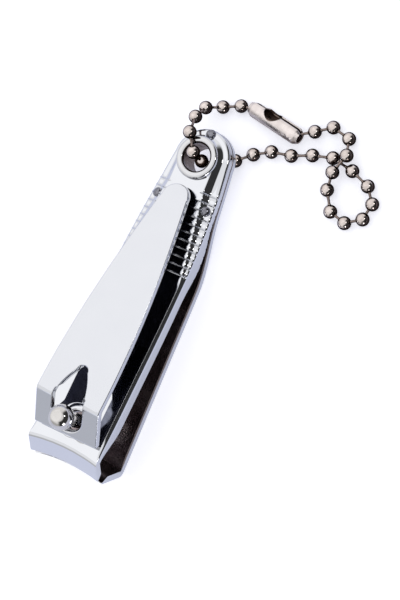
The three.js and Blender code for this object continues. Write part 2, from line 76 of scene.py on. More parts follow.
class Bench:
    """Modelling steps shared by all pieces, each done with Blender's own operators."""

    @staticmethod
    def clear() -> None:
        """Leaves edit mode and deselects every object."""
        if bpy.context.object is not None and bpy.context.object.mode != "OBJECT":
            bpy.ops.object.mode_set(mode="OBJECT")
        bpy.ops.object.select_all(action="DESELECT")

    @staticmethod
    def take(piece: Piece) -> None:
        """Makes one piece the selected and active object."""
        Bench.clear()
        piece.select_set(True)
        bpy.context.view_layer.objects.active = piece

    @staticmethod
    def open(piece: Piece, kind: Pick = Pick.CORNERS) -> None:
        """Enters edit mode on a piece with nothing selected.

        Args:
            piece: The object to edit.
            kind: The kind of element that selections are made of.
        """
        Bench.take(piece)
        bpy.ops.object.mode_set(mode="EDIT")
        bpy.ops.mesh.select_mode(type=kind.value)
        bpy.ops.mesh.select_all(action="DESELECT")

    @staticmethod
    def select_all() -> None:
        """Selects all of the open mesh."""
        bpy.ops.mesh.select_all(action="SELECT")

    @staticmethod
    def bake_place(piece: Piece) -> None:
        """Puts an object's place, turn and scale into its mesh."""
        Bench.take(piece)
        bpy.ops.object.transform_apply(location=True, rotation=True, scale=True)

    @staticmethod
    def start(name: str, at: Point) -> Piece:
        """Starts a drawing as a single selected corner, left open in edit mode.

        Args:
            name: Name of the new object.
            at: Place of the corner, in millimetres.

        Returns:
            The new object.
        """
        Bench.clear()
        bpy.ops.mesh.primitive_plane_add(size=MM, location=Vector(at) * MM)
        piece = bpy.context.object
        piece.name = name
        piece.data.name = name
        Bench.bake_place(piece)
        Bench.open(piece)
        Bench.select_all()
        bpy.ops.mesh.merge(type="CENTER")
        return piece

    @staticmethod
    def trace(points: Sequence[Point]) -> None:
        """Draws a line of edges by extruding the selected corner from point to point.

        Args:
            points: Places in millimetres, the first of them the selected corner's own.
        """
        for here, there in zip(points, points[1:]):
            step = (Vector(there) - Vector(here)) * MM
            bpy.ops.mesh.extrude_vertices_move(TRANSFORM_OT_translate={"value": step})

    @staticmethod
    def pull(step: Point) -> None:
        """Extrudes the selected edges by a step in millimetres."""
        bpy.ops.mesh.extrude_edges_move(TRANSFORM_OT_translate={"value": Vector(step) * MM})

    @staticmethod
    def spin(angle: float, steps: int, centre: Point, axis: Point) -> None:
        """Spins all that the open mesh holds and merges what meets.

        Args:
            angle: Turn in degrees, anticlockwise about the axis.
            steps: Number of steps in the turn.
            centre: A point of the axis, in millimetres.
            axis: Direction of the axis.
        """
        Bench.select_all()
        place = Vector(centre) * MM
        bpy.ops.mesh.spin(steps=steps, angle=-math.radians(angle), center=place, axis=axis)
        Bench.select_all()
        bpy.ops.mesh.remove_doubles(threshold=MM / 500)

    @staticmethod
    def select(piece: Piece, kind: Pick, test: Test) -> int:
        """Selects the elements of the open mesh that pass a test, by their corners' places.

        Args:
            piece: The object open in edit mode.
            kind: The kind of element to select.
            test: Says whether a place, in millimetres, is wanted. All corners have to pass.

        Returns:
            How many elements were selected.
        """
        bpy.ops.mesh.select_mode(type=kind.value)
        bpy.ops.mesh.select_all(action="DESELECT")
        cage = bmesh.from_edit_mesh(piece.data)
        elements = {Pick.CORNERS: cage.verts, Pick.EDGES: cage.edges, Pick.FACES: cage.faces}[kind]
        found = 0
        for element in elements:
            corners = [element] if kind is Pick.CORNERS else element.verts
            if all(test(corner.co / MM) for corner in corners):
                element.select_set(True)
                found += 1
        bmesh.update_edit_mesh(piece.data)
        return found

    @staticmethod
    def press(piece: Piece, form: Form) -> None:
        """Presses a blank to its form: each corner moves to where the form puts it."""
        Bench.take(piece)
        for corner in piece.data.vertices:
            corner.co = form(corner.co / MM) * MM

    @staticmethod
    def modify(piece: Piece, kind: str, **settings: object) -> None:
        """Adds a modifier with its settings and applies it.

        Args:
            piece: The object that the modifier acts on.
            kind: Blender's name of the modifier type.
            settings: The modifier's settings.
        """
        Bench.take(piece)
        modifier = piece.modifiers.new(kind.title(), kind)
        for key, value in settings.items():
            setattr(modifier, key, value)
        bpy.ops.object.modifier_apply(modifier=modifier.name)

    @staticmethod
    def cut(piece: Piece, tool: Piece, how: Cut = Cut.AWAY) -> None:
        """Cuts a piece with a tool solid, which is then thrown away."""
        Bench.modify(piece, "BOOLEAN", object=tool, operation=how.value, solver="MANIFOLD")
        mesh = tool.data
        bpy.data.objects.remove(tool)
        bpy.data.meshes.remove(mesh)

    @staticmethod
    def soften(piece: Piece, width: float, above: float = 50, steps: int = 3) -> None:
        """Rounds the sharp edges of a piece and keeps its faces flat up to them.

        Args:
            piece: The object to soften.
            width: Width of the rounding in millimetres.
            above: Smallest angle between faces, in degrees, that counts as sharp.
            steps: Number of segments in the rounding.
        """
        sharp = {"limit_method": "ANGLE", "angle_limit": math.radians(above)}
        Bench.modify(
            piece, "BEVEL", width=width * MM, segments=steps, use_clamp_overlap=False, **sharp
        )
        Bench.even_out(piece)

    @staticmethod
    def even_out(piece: Piece) -> None:
        """Shades a piece so that its flat faces stay flat beside rounded edges."""
        Bench.shade(piece, 60)
        Bench.modify(piece, "WEIGHTED_NORMAL", weight=60, keep_sharp=True)

    @staticmethod
    def shade(piece: Piece, angle: float) -> None:
        """Shades a piece smooth wherever its faces meet at less than an angle in degrees."""
        Bench.take(piece)
        bpy.ops.object.shade_smooth_by_angle(angle=math.radians(angle))

    @staticmethod
    def same_way(piece: Piece, wanted: Callable[[bpy.types.Mesh], bool]) -> None:
        """Turns the faces of an open sheet one way, and flips them if that is the wrong way.

        Args:
            piece: The sheet.
            wanted: Says whether its mesh, its faces all turned one way, faces rightly.
        """
        Bench.open(piece)
        Bench.select_all()
        bpy.ops.mesh.normals_make_consistent(inside=False)
        Bench.clear()
        if not wanted(piece.data):
            Bench.open(piece)
            Bench.select_all()
            bpy.ops.mesh.flip_normals()
            Bench.clear()

    @staticmethod
    def drill(piece: Piece, y: float, radius: float, depth: float) -> None:
        """Cuts a round hole on the clipper's centre line.

        Args:
            piece: The piece to drill.
            y: Place of the hole, in millimetres.
            radius: Its radius.
            depth: How far it reaches above and below the table's height.
        """
        Bench.clear()
        bpy.ops.mesh.primitive_cylinder_add(
            vertices=64, radius=radius * MM, depth=2 * depth * MM, location=(0, y * MM, 0)
        )
        Bench.cut(piece, bpy.context.object)

    @staticmethod
    def face_outwards(piece: Piece) -> None:
        """Merges doubles and turns the faces of a closed shape outwards."""
        Bench.open(piece)
        Bench.select_all()
        bpy.ops.mesh.remove_doubles(threshold=MM / 1000)
        bpy.ops.mesh.normals_make_consistent(inside=False)
        Bench.clear()

    @staticmethod
    def turned(
        name: str,
        profile: Sequence[tuple[float, float]],
        steps: int,
        foot: Point = (0, 0, 0),
        axis: Vector = UP,
    ) -> Piece:
        """Turns a profile about an axis, as on a lathe.

        Args:
            name: Name of the new object.
            profile: Radius and height of each point, in millimetres.
            steps: Number of sides.
            foot: Where the axis starts, in millimetres.
            axis: Direction of the axis.

        Returns:
            The turned solid, its faces outwards.
        """
        outward = axis.orthogonal().normalized()
        points = [Vector(foot) + outward * r + axis * z for r, z in profile]
        piece = Bench.start(name, points[0])
        Bench.trace(points)
        Bench.spin(360, steps, foot, axis)
        Bench.face_outwards(piece)
        return piece

    @staticmethod
    def prism(name: str, outline: Sequence[Point], step: Point) -> Piece:
        """Fills an outline and extrudes it into a solid.

        Args:
            name: Name of the new object.
            outline: The outline's corners in order, in millimetres, not closed.
            step: How far it is extruded.

        Returns:
            The solid, its faces outwards.
        """
        piece = Bench.start(name, outline[0])
        Bench.trace(outline)
        Bench.select_all()
        bpy.ops.mesh.edge_face_add()
        bpy.ops.mesh.extrude_region_move(TRANSFORM_OT_translate={"value": Vector(step) * MM})
        Bench.face_outwards(piece)
        return piece

    @staticmethod
    def join(whole: Piece, parts: Sequence[Piece]) -> None:
        """Joins parts into one object, which keeps its name."""
        Bench.take(whole)
        for part in parts:
            part.select_set(True)
        bpy.ops.object.join()

    @staticmethod
    def copy_of(master: Piece, name: str, place: Matrix) -> Piece:
        """Copies a master with its own mesh and puts the copy in its place.

        Args:
            master: The object to copy.
            name: Name of the copy.
            place: Turn, scale and place of the copy, in Blender's metres.

        Returns:
            The copy, its place baked into its mesh.
        """
        Bench.take(master)
        bpy.ops.object.duplicate(linked=False)
        piece = bpy.context.object
        piece.name = name
        piece.data.name = name
        piece.matrix_world = place
        Bench.bake_place(piece)
        return piece


class Curve:
    """Numbers and lines that the forms are drawn with."""

    @staticmethod
    def spread(start: float, end: float, steps: int) -> list[float]:
        """Places spread evenly from one value to another, both ends included."""
        return [start + (end - start) * i / steps for i in range(steps + 1)]

    @staticmethod
    def clamp(value: float, low: float = 0.0, high: float = 1.0) -> float:
        """The value, held between two limits."""
        return max(low, min(high, value))

    @staticmethod
    def ease(value: float, low: float, high: float) -> float:
        """A smooth rise from 0 at one limit to 1 at the other."""
        share = Curve.clamp((value - low) / (high - low))
        return share * share * (3 - 2 * share)

    @staticmethod
    def hump(value: float, places: Sequence[float]) -> float:
        """A smooth rise between the first two places and a fall between the last two."""
        start, full, falling, end = places
        return Curve.ease(value, start, full) * (1 - Curve.ease(value, falling, end))

    @staticmethod
    def corner(
        before: Vector, at: Vector, after: Vector, set_back: float, steps: int
    ) -> list[Vector]:
        """Points of a rounded corner between two straight stretches.

        Args:
            before: A point of the first stretch.
            at: Where the stretches would meet.
            after: A point of the second stretch.
            set_back: Distance from the meeting point at which the rounding starts and ends.
            steps: Number of steps in the rounding.

        Returns:
            The points, from the first stretch to the second.
        """
        start = at + (before - at).normalized() * set_back
        end = at + (after - at).normalized() * set_back
        return Curve.bow(start, at, end, steps)

    @staticmethod
    def bow(a: Vector, b: Vector, c: Vector, steps: int) -> list[Vector]:
        """Points of a quadratic curve with one handle, both ends included."""
        shares = Curve.spread(0, 1, steps)
        return [a * (1 - t) ** 2 + b * (2 * t * (1 - t)) + c * t * t for t in shares]

    @staticmethod
    def bezier(a: Vector, b: Vector, c: Vector, d: Vector, steps: int) -> list[Vector]:
        """Points of a cubic curve with two handles, both ends included."""
        line = []
        for t in Curve.spread(0, 1, steps):
            u = 1 - t
            line.append(a * u**3 + b * (3 * u * u * t) + c * (3 * u * t * t) + d * t**3)
        return line

    @staticmethod
    def arc(centre: Vector, radius: float, start: float, end: float, steps: int) -> list[Vector]:
        """Points of an arc in a plane, its angles in degrees."""
        angles = [math.radians(a) for a in Curve.spread(start, end, steps)]
        return [centre + Vector((math.cos(a), math.sin(a))) * radius for a in angles]

    @staticmethod
    def crossing(p: Vector, d: Vector, q: Vector, e: Vector) -> Vector:
        """Point where two lines of a plane cross, each given by a point and a direction."""
        share = ((q.x - p.x) * e.y - (q.y - p.y) * e.x) / (d.x * e.y - d.y * e.x)
        return p + d * share


class Network:
    """A node tree that is filled and wired by short calls."""

    def __init__(self, tree: bpy.types.NodeTree) -> None:
        """Takes the tree that the calls work on."""
        self.nodes = tree.nodes
        self.link = tree.links.new

    def fill(self, node: bpy.types.Node, sockets: dict[str | int, object]) -> None:
        """Sets or links the inputs of a node.

        Args:
            node: The node.
            sockets: A constant, or the output to link, for each input's name or number.
        """
        for key, value in sockets.items():
            if isinstance(value, bpy.types.NodeSocket):
                self.link(value, node.inputs[key])
            else:
                node.inputs[key].default_value = value

    def add(
        self, kind: str, sockets: dict[str | int, object], **settings: object
    ) -> bpy.types.bpy_prop_collection:
        """Adds a node.

        Args:
            kind: Blender's name of the node, without its "ShaderNode".
            sockets: A constant, or the output to link, for each input's name or number.
            settings: The node's own settings.

        Returns:
            The node's outputs.
        """
        node = self.nodes.new("ShaderNode" + kind)
        for key, value in settings.items():
            setattr(node, key, value)
        self.fill(node, sockets)
        return node.outputs

    def math(self, operation: str, a: object, b: object) -> bpy.types.NodeSocket:
        """Combines two numbers or outputs with a math node."""
        return self.add("Math", {0: a, 1: b}, operation=operation)[0]


@dataclass(frozen=True)
class MetalFinish:
    """A polished or satin metal whose tint, gloss and grain vary a little over the surface.

    Attributes:
        name: Name of the material.
        tint: Colour of the clean metal.
        shade: Colour of its slightly duller patches.
        gloss: Roughness of the best polished places.
        wear: Roughness of the handled places.
        patch: Size of the patches in millimetres.
        grain: Size of the finest marks in millimetres.
        relief: Height of the grain in millimetres.
        stretch: How much longer the grain is along the clipper than across it.
        edge: Tint of what the metal mirrors at a glancing angle.
        table_shade: Share of the colour left where the piece lies on the table, a painted shade.
        table_shade_heights: Heights in millimetres between which the painted shade fades out.
        polished: Values of the patches' noise that give the best gloss and the full wear.
    """

    name: str
    tint: tuple[float, float, float]
    shade: tuple[float, float, float]
    gloss: float
    wear: float
    patch: float = 4.0
    grain: float = 0.3
    relief: float = 0.0002
    stretch: float = 1.0
    edge: tuple[float, float, float] = (1.0, 1.0, 1.0)
    table_shade: float = 1.0
    table_shade_heights: tuple[float, float] = (0.8, 2.3)
    polished: tuple[float, float] = (0.35, 0.7)

    def material(self) -> bpy.types.Material:
        """Builds the material's nodes on Object coordinates.

        Returns:
            The material.
        """
        made = bpy.data.materials.new(self.name)
        made.use_nodes = True
        net = Network(made.node_tree)
        place = net.add("TexCoord", {})["Object"]
        stretched = net.add("Mapping", {"Vector": place, "Scale": (1.0, 1.0 / self.stretch, 1.0)})
        noise = {"Vector": place, "Scale": 1 / (self.patch * MM), "Detail": 3.0}
        patches = net.add("TexNoise", noise)["Fac"]
        tints = {"Factor": patches, "A": (*self.tint, 1.0), "B": (*self.shade, 1.0)}
        tint = net.add("Mix", tints, data_type="RGBA")["Result"]
        # Painted shade: the colour is darkened towards the table, below the given heights.
        fade = {
            "Value": net.add("SeparateXYZ", {0: place})["Z"],
            "From Min": self.table_shade_heights[0] * MM,
            "From Max": self.table_shade_heights[1] * MM,
            "To Min": self.table_shade,
        }
        unshaded_share = net.add("MapRange", fade)["Result"]
        table_shaded_tint = net.add("VectorMath", {0: tint, "Scale": unshaded_share}, operation="SCALE")[0]
        handled = {
            "Value": patches,
            "From Min": self.polished[0],
            "From Max": self.polished[1],
            "To Min": self.gloss,
            "To Max": self.wear,
        }
        noise = {"Vector": stretched["Vector"], "Scale": 1 / (self.grain * MM), "Detail": 2.0}
        marks = net.add("TexNoise", noise)["Fac"]
        metal = {
            "Metallic": 1.0,
            "Specular Tint": (*self.edge, 1.0),
            "Base Color": table_shaded_tint,
            "Roughness": net.add("MapRange", handled)["Result"],
            "Normal": net.add("Bump", {"Distance": self.relief * MM, "Height": marks})["Normal"],
        }
        net.fill(net.nodes["Principled BSDF"], metal)
        return made

    def add_to(self, piece: Piece) -> None:
        """Adds the material to a piece's list, and makes it the first time."""
        made = bpy.data.materials.get(self.name) or self.material()
        piece.data.materials.append(made)

    def dress(self, piece: Piece) -> None:
        """Gives a piece this finish all over."""
        piece.data.materials.clear()
        self.add_to(piece)

    def line(self, piece: Piece, test: FaceTest) -> None:
        """Gives some faces of a dressed piece this finish as a second one.

        Args:
            piece: The piece, which has its first finish.
            test: Says, by a face's place in millimetres and its normal, whether it is wanted.
        """
        self.add_to(piece)
        for face in piece.data.polygons:
            if test(face.center / MM, face.normal):
                face.material_index = len(piece.data.materials) - 1


ARM_STEEL = MetalFinish("arm_chrome", (0.74, 0.75, 0.78), (0.70, 0.71, 0.75), 0.02, 0.05)
LEVER_STEEL = MetalFinish(
    "lever_chrome", (0.69, 0.70, 0.735), (0.66, 0.67, 0.71), 0.07, 0.12, 5.0, 0.12, 0.0003, 6.0
)
# Bluer copy of the lever's chrome for the flange's outer side: a painted reflection of the pale table
# ahead.
BLUE_REFLECTION_STEEL = MetalFinish(
    "flange_chrome_painted_blue_reflection", (0.71, 0.74, 0.84), (0.68, 0.71, 0.81), 0.07, 0.12, 5.0, 0.12, 0.0003, 6.0
)
PIP_STEEL = MetalFinish(
    "pip_steel", (0.36, 0.36, 0.4), (0.1, 0.1, 0.12), 0.06, 0.2, 0.35, 0.12, 0.006
)
# Darker steel for the arms' inner sides: partly their unpolished finish, partly painted shade between
# the arms.
INNER_STEEL_AND_SHADE = MetalFinish(
    "unpolished_steel_painted_shade", (0.34, 0.29, 0.3), (0.2, 0.165, 0.165), 0.16, 0.3, 3.0, 0.2, 0.0006
)
# Near-black steel for the lever's file-cut underside: partly its own dull finish, partly painted
# shade under the lever, which the arm mirrors.
FILE_STEEL_AND_SHADE = MetalFinish(
    "file_cut_steel_painted_shade", (0.035, 0.035, 0.045), (0.02, 0.02, 0.03), 0.3, 0.4, 2.0, 0.35, 0.03
)
# Dark tint for the arm's top beside the lever: a painted reflection of the lever's dark underside.
PAINTED_REFLECTION_STEEL = MetalFinish(
    "arm_chrome_painted_lever_reflection", (0.3, 0.32, 0.4), (0.02, 0.02, 0.04), 0.05, 0.16, 1.6
)
POST_STEEL = MetalFinish(
    "post_chrome", (0.7, 0.68, 0.66), (0.55, 0.53, 0.52), 0.06, 0.14, 1.2, 0.15
)
EYELET_STEEL = MetalFinish("eyelet_chrome", (0.7, 0.7, 0.715), (0.62, 0.62, 0.64), 0.05, 0.1, 2.0)
CHAIN_NICKEL = MetalFinish(
    "ball_nickel", (0.9, 0.82, 0.78), (0.44, 0.375, 0.35), 0.06, 0.12, 0.9, 0.2,
    edge=(0.25, 0.2, 0.18),
)
# Painted shade on each ball below its top: a half-dark band, then near black where the faces turn
# further down.
HALF_SHADE_NICKEL = MetalFinish(
    "ball_nickel_painted_half_shade", (0.2, 0.155, 0.135), (0.13, 0.1, 0.09), 0.08, 0.14, 1.5, 0.2,
    edge=(0.2, 0.16, 0.14),
)
DEEP_SHADE_NICKEL = MetalFinish(
    "ball_nickel_painted_deep_shade", (0.055, 0.042, 0.038), (0.04, 0.03, 0.028), 0.1, 0.18, 1.5, 0.2,
    edge=(0.12, 0.1, 0.09),
)
# Links darker than the balls: painted shade in the gaps between balls, and also darker near the
# table.
LINK_NICKEL_PAINTED_SHADE = MetalFinish(
    "link_nickel_painted_shade", (0.38, 0.31, 0.285), (0.13, 0.1, 0.09), 0.12, 0.2, 0.4, 0.2,
    edge=(0.3, 0.25, 0.22), table_shade=0.7,
)
# The connector's colour is also darkened near the table as a painted shade.
CONNECTOR_NICKEL = MetalFinish(
    "tube_nickel", (0.92, 0.85, 0.83), (0.58, 0.515, 0.495), 0.24, 0.36, 1.6, 0.12, 0.0012,
    edge=(0.4, 0.34, 0.31), table_shade=0.3,
)
# Darker nickel for the inside of the eyelet's bore and the connector's tube: painted shade inside
# them.
TUBE_INSIDE_SHADE = MetalFinish(
    "tube_inside_painted_shade", (0.4, 0.31, 0.27), (0.16, 0.12, 0.1), 0.25, 0.4, 0.8, 0.15, 0.001
)


@dataclass(frozen=True)
class Plan:
    """Places and widths that the arms, the post and the lever share."""

    jaw_y: float = -34.25
    rear_y: float = 34.25
    eyelet_y: float = 28.3
    pin_y: float = -25.1
    taper_y: float = 2.75
    crease_y: float = -30.95
    jaw_half: float = 7.6
    rear_half: float = 5.8
    bow: float = 0.75
    bow_length: float = 9.0

    @property
    def bow_y(self) -> float:
        """Where the bow of the jaws has faded out."""
        return self.crease_y + self.bow_length

    def half_width(self, y: float) -> float:
        """Half width of both arms at a place along the clipper."""
        share = Curve.clamp((y - self.taper_y) / (self.eyelet_y - self.taper_y))
        return self.jaw_half + (self.rear_half - self.jaw_half) * share * share

    def set_back(self, x: float, y: float) -> float:
        """How far the bowed jaws are set back towards the eyelet at a place in plan."""
        share = 1 - Curve.ease(y, self.crease_y, self.bow_y)
        return self.bow * (1 - (x / self.jaw_half) ** 2) * share


PLAN = Plan()


@dataclass
class PressedArm:
    """A sheet-metal arm: a blank with a round rear end, pressed to its form, with a jaw wall."""

    name: str
    body: str
    slot: str
    finish: MetalFinish
    faces_up: bool
    sheet: float
    wall_sheet: float
    edge_land: float = 0.3
    rear_steps: int = 32
    rim: float = 0.25
    flat_half: float = 3.55
    flat_columns: tuple[float, ...] = (0, 1.2, 2.4, 3.0, 3.3, 3.55)
    shoulder_columns: tuple[float, ...] = (3.64, 3.73, 4.0, 4.4, 4.56, 4.72, 5.0)
    rim_shares: tuple[float, ...] = (1, 0.741, 0.5, 0.293, 0.134, 0.034, 0)

    def rows(self) -> list[float]:
        """Places of the blank's rows from the eyelet to the jaw's bend."""
        raise NotImplementedError

    def height(self, x: float, y: float) -> float:
        """Height of the outer surface at a place in plan."""
        raise NotImplementedError

    def wall(self) -> list[Vector]:
        """Side view (y, z) of the rounded bend and the jaw wall, from the last row on."""
        raise NotImplementedError

    def sheet_at(self, y: float) -> float:
        """Thickness of the sheet at a place along the clipper."""
        raise NotImplementedError

    def flat_edge(self, y: float) -> float:
        """Half width of the arm's flat middle at a place along the clipper."""
        return self.flat_half

    def is_inside(self, place: Vector, normal: Vector) -> bool:
        """Says whether a face lies on the arm's unpolished inner side, which is also darkened as
        painted shade between the arms.
        """
        raise NotImplementedError

    def is_painted_reflection(self, place: Vector, normal: Vector) -> bool:
        """Says whether a face gets the painted reflection of the lever's dark side, as it lies at
        rest.
        """
        return False

    def is_pip(self, place: Vector, normal: Vector) -> bool:
        """Says whether a face belongs to a pressed knob."""
        return False

    def blank(self) -> Piece:
        """Draws the flat blank: a spun rear end, rows towards the jaws and the wall's rows.

        Returns:
            The open sheet, with the wall's heights measured from its last row.
        """
        centre = (0, PLAN.eyelet_y, 0)
        piece = Bench.start(self.name, centre)
        rim_columns = [PLAN.rear_half - self.rim * share for share in self.rim_shares]
        columns = [*self.flat_columns, *self.shoulder_columns, *rim_columns]
        Bench.trace([(r, PLAN.eyelet_y, 0) for r in columns])
        Bench.spin(180, self.rear_steps, centre, UP)
        Bench.select(piece, Pick.EDGES, lambda p: abs(p.y - PLAN.eyelet_y) < 0.01)
        rows = self.rows()
        for here, there in zip(rows, rows[1:]):
            Bench.pull((0, there - here, 0))
        wall = self.wall()
        for here, there in zip(wall, wall[1:]):
            Bench.pull((0, there.x - here.x, there.y - here.y))
        Bench.clear()
        return piece

    def form(self, p: Vector) -> Vector:
        """Where the press moves a corner of the flat blank."""
        first_wall_y = self.rows()[-1]
        x, y = p.x, p.y
        if y < PLAN.eyelet_y:
            edge, rim_start = self.flat_edge(y), PLAN.rear_half - self.rim
            on_flat = min(abs(x) / self.flat_half, 1) * edge
            beyond = Curve.clamp((abs(x) - self.flat_half) / (rim_start - self.flat_half))
            beyond *= PLAN.half_width(y) - self.rim - edge
            x = math.copysign(on_flat + beyond + max(abs(x) - rim_start, 0), x)
        if y > PLAN.eyelet_y:
            stretch = (PLAN.rear_y - PLAN.eyelet_y) / PLAN.rear_half
            y = PLAN.eyelet_y + (y - PLAN.eyelet_y) * stretch
        z = self.height(x, max(y, first_wall_y)) + p.z
        return Vector((x, y + PLAN.set_back(x, y), z))

    def thicken(self, piece: Piece) -> None:
        """Gives the blank its thickness, which varies along the arm."""
        group = piece.vertex_groups.new(name="sheet")
        for corner in piece.data.vertices:
            share = self.sheet_at(corner.co.y / MM) / self.sheet
            group.add([corner.index], Curve.clamp(share), "REPLACE")
        evenly = {"use_even_offset": True, "use_quality_normals": True}
        thickness = self.sheet * MM
        Bench.modify(
            piece, "SOLIDIFY", thickness=thickness, offset=-1, vertex_group="sheet", **evenly
        )
        piece.vertex_groups.clear()

    def on_top(self, p: Vector) -> bool:
        """Says whether a corner lies on the upper side of the sheet."""
        raise NotImplementedError

    def turned_down(self, y: float) -> float:
        """How far the rim's lower side is turned down at a place along the clipper."""
        return 0.0

    def rounded(self, p: Vector) -> Vector:
        """Where the rim's corners go: rounded on the upper side, turned down on the lower."""
        y = p.y - PLAN.set_back(p.x, p.y)
        round_end = max(y - PLAN.eyelet_y, 0) * PLAN.rear_half / (PLAN.rear_y - PLAN.eyelet_y)
        inward = PLAN.half_width(y) - math.hypot(p.x, round_end)
        if not self.on_top(p):
            return p - UP * self.turned_down(y) * (1 - Curve.ease(inward, 0.35, 1.0))
        if inward > self.rim:
            return p
        fall = self.rim - math.sqrt(max(self.rim**2 - (self.rim - inward) ** 2, 0))
        return p - UP * fall * Curve.ease(y, PLAN.crease_y + 0.5, PLAN.crease_y + 2)

    def sharpen(self, piece: Piece) -> None:
        """Grinds the jaw wall down to its cutting edge from the inside."""
        wall = self.wall()
        edge, along = wall[-1], (wall[-1] - wall[-2]).normalized()
        inward = Vector((-along.y, along.x))
        if inward.x < 0:
            inward = -inward
        tip = edge + inward * self.wall_sheet
        drop = self.height(0, self.rows()[-1])

        def on_tip(p: Vector) -> bool:
            """Says whether a corner lies on the inner rim of the wall's free end."""
            y = p.y - PLAN.set_back(p.x, PLAN.jaw_y)
            return math.hypot(y - tip.x, p.z - drop - tip.y) < 0.4

        Bench.open(piece)
        Bench.select(piece, Pick.CORNERS, on_tip)
        step = -inward * (self.wall_sheet - self.edge_land) * MM
        bpy.ops.transform.translate(value=(0, step.x, step.y))
        Bench.clear()

    def is_right_way_up(self, mesh: bpy.types.Mesh) -> bool:
        """Says whether the blank's faces look to the arm's outer side."""
        return (sum(face.normal.z * face.area for face in mesh.polygons) > 0) == self.faces_up

    def build(self) -> Piece:
        """Makes the arm from its blank.

        Returns:
            The finished arm.
        """
        piece = self.blank()
        Bench.same_way(piece, self.is_right_way_up)
        self.thicken(piece)
        Bench.press(piece, self.form)
        Bench.press(piece, self.rounded)
        self.sharpen(piece)
        Bench.even_out(piece)
        self.detail(piece)
        self.finish.dress(piece)
        # The inner sides take a darker finish, partly painted shade between the arms.
        INNER_STEEL_AND_SHADE.line(piece, self.is_inside)
        # Painted reflection of the lever's dark underside on the arm's top beside it.
        PAINTED_REFLECTION_STEEL.line(piece, self.is_painted_reflection)
        PIP_STEEL.line(piece, self.is_pip)
        Pieces.place(piece, self.body, self.slot, [self.name_of_node()])
        return piece

    def detail(self, piece: Piece) -> None:
        """Cuts the holes and adds what is pressed into the arm."""
        raise NotImplementedError

    def name_of_node(self) -> str:
        """The CAD node that the arm stands for."""
        return self.name.replace("_sheet", "")


class Pieces:
    """Ties finished pieces to the CAD frame and reports them."""

    made: list[Piece] = []

    @classmethod
    def place(cls, piece: Piece, body: str, slot: str, nodes: Sequence[str]) -> None:
        """Lets a piece ride on a body and stand for CAD nodes.

        Args:
            piece: The finished piece.
            body: The CAD body that it moves with.
            slot: The record's material slot of its finish; not used.
            nodes: The CAD nodes that it stands for.
        """
        Bench.clear()
        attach(piece, body)
        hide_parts(*nodes)
        cls.made.append(piece)
        log.info("%s: %d faces, rides on %s", piece.name, len(piece.data.polygons), body)


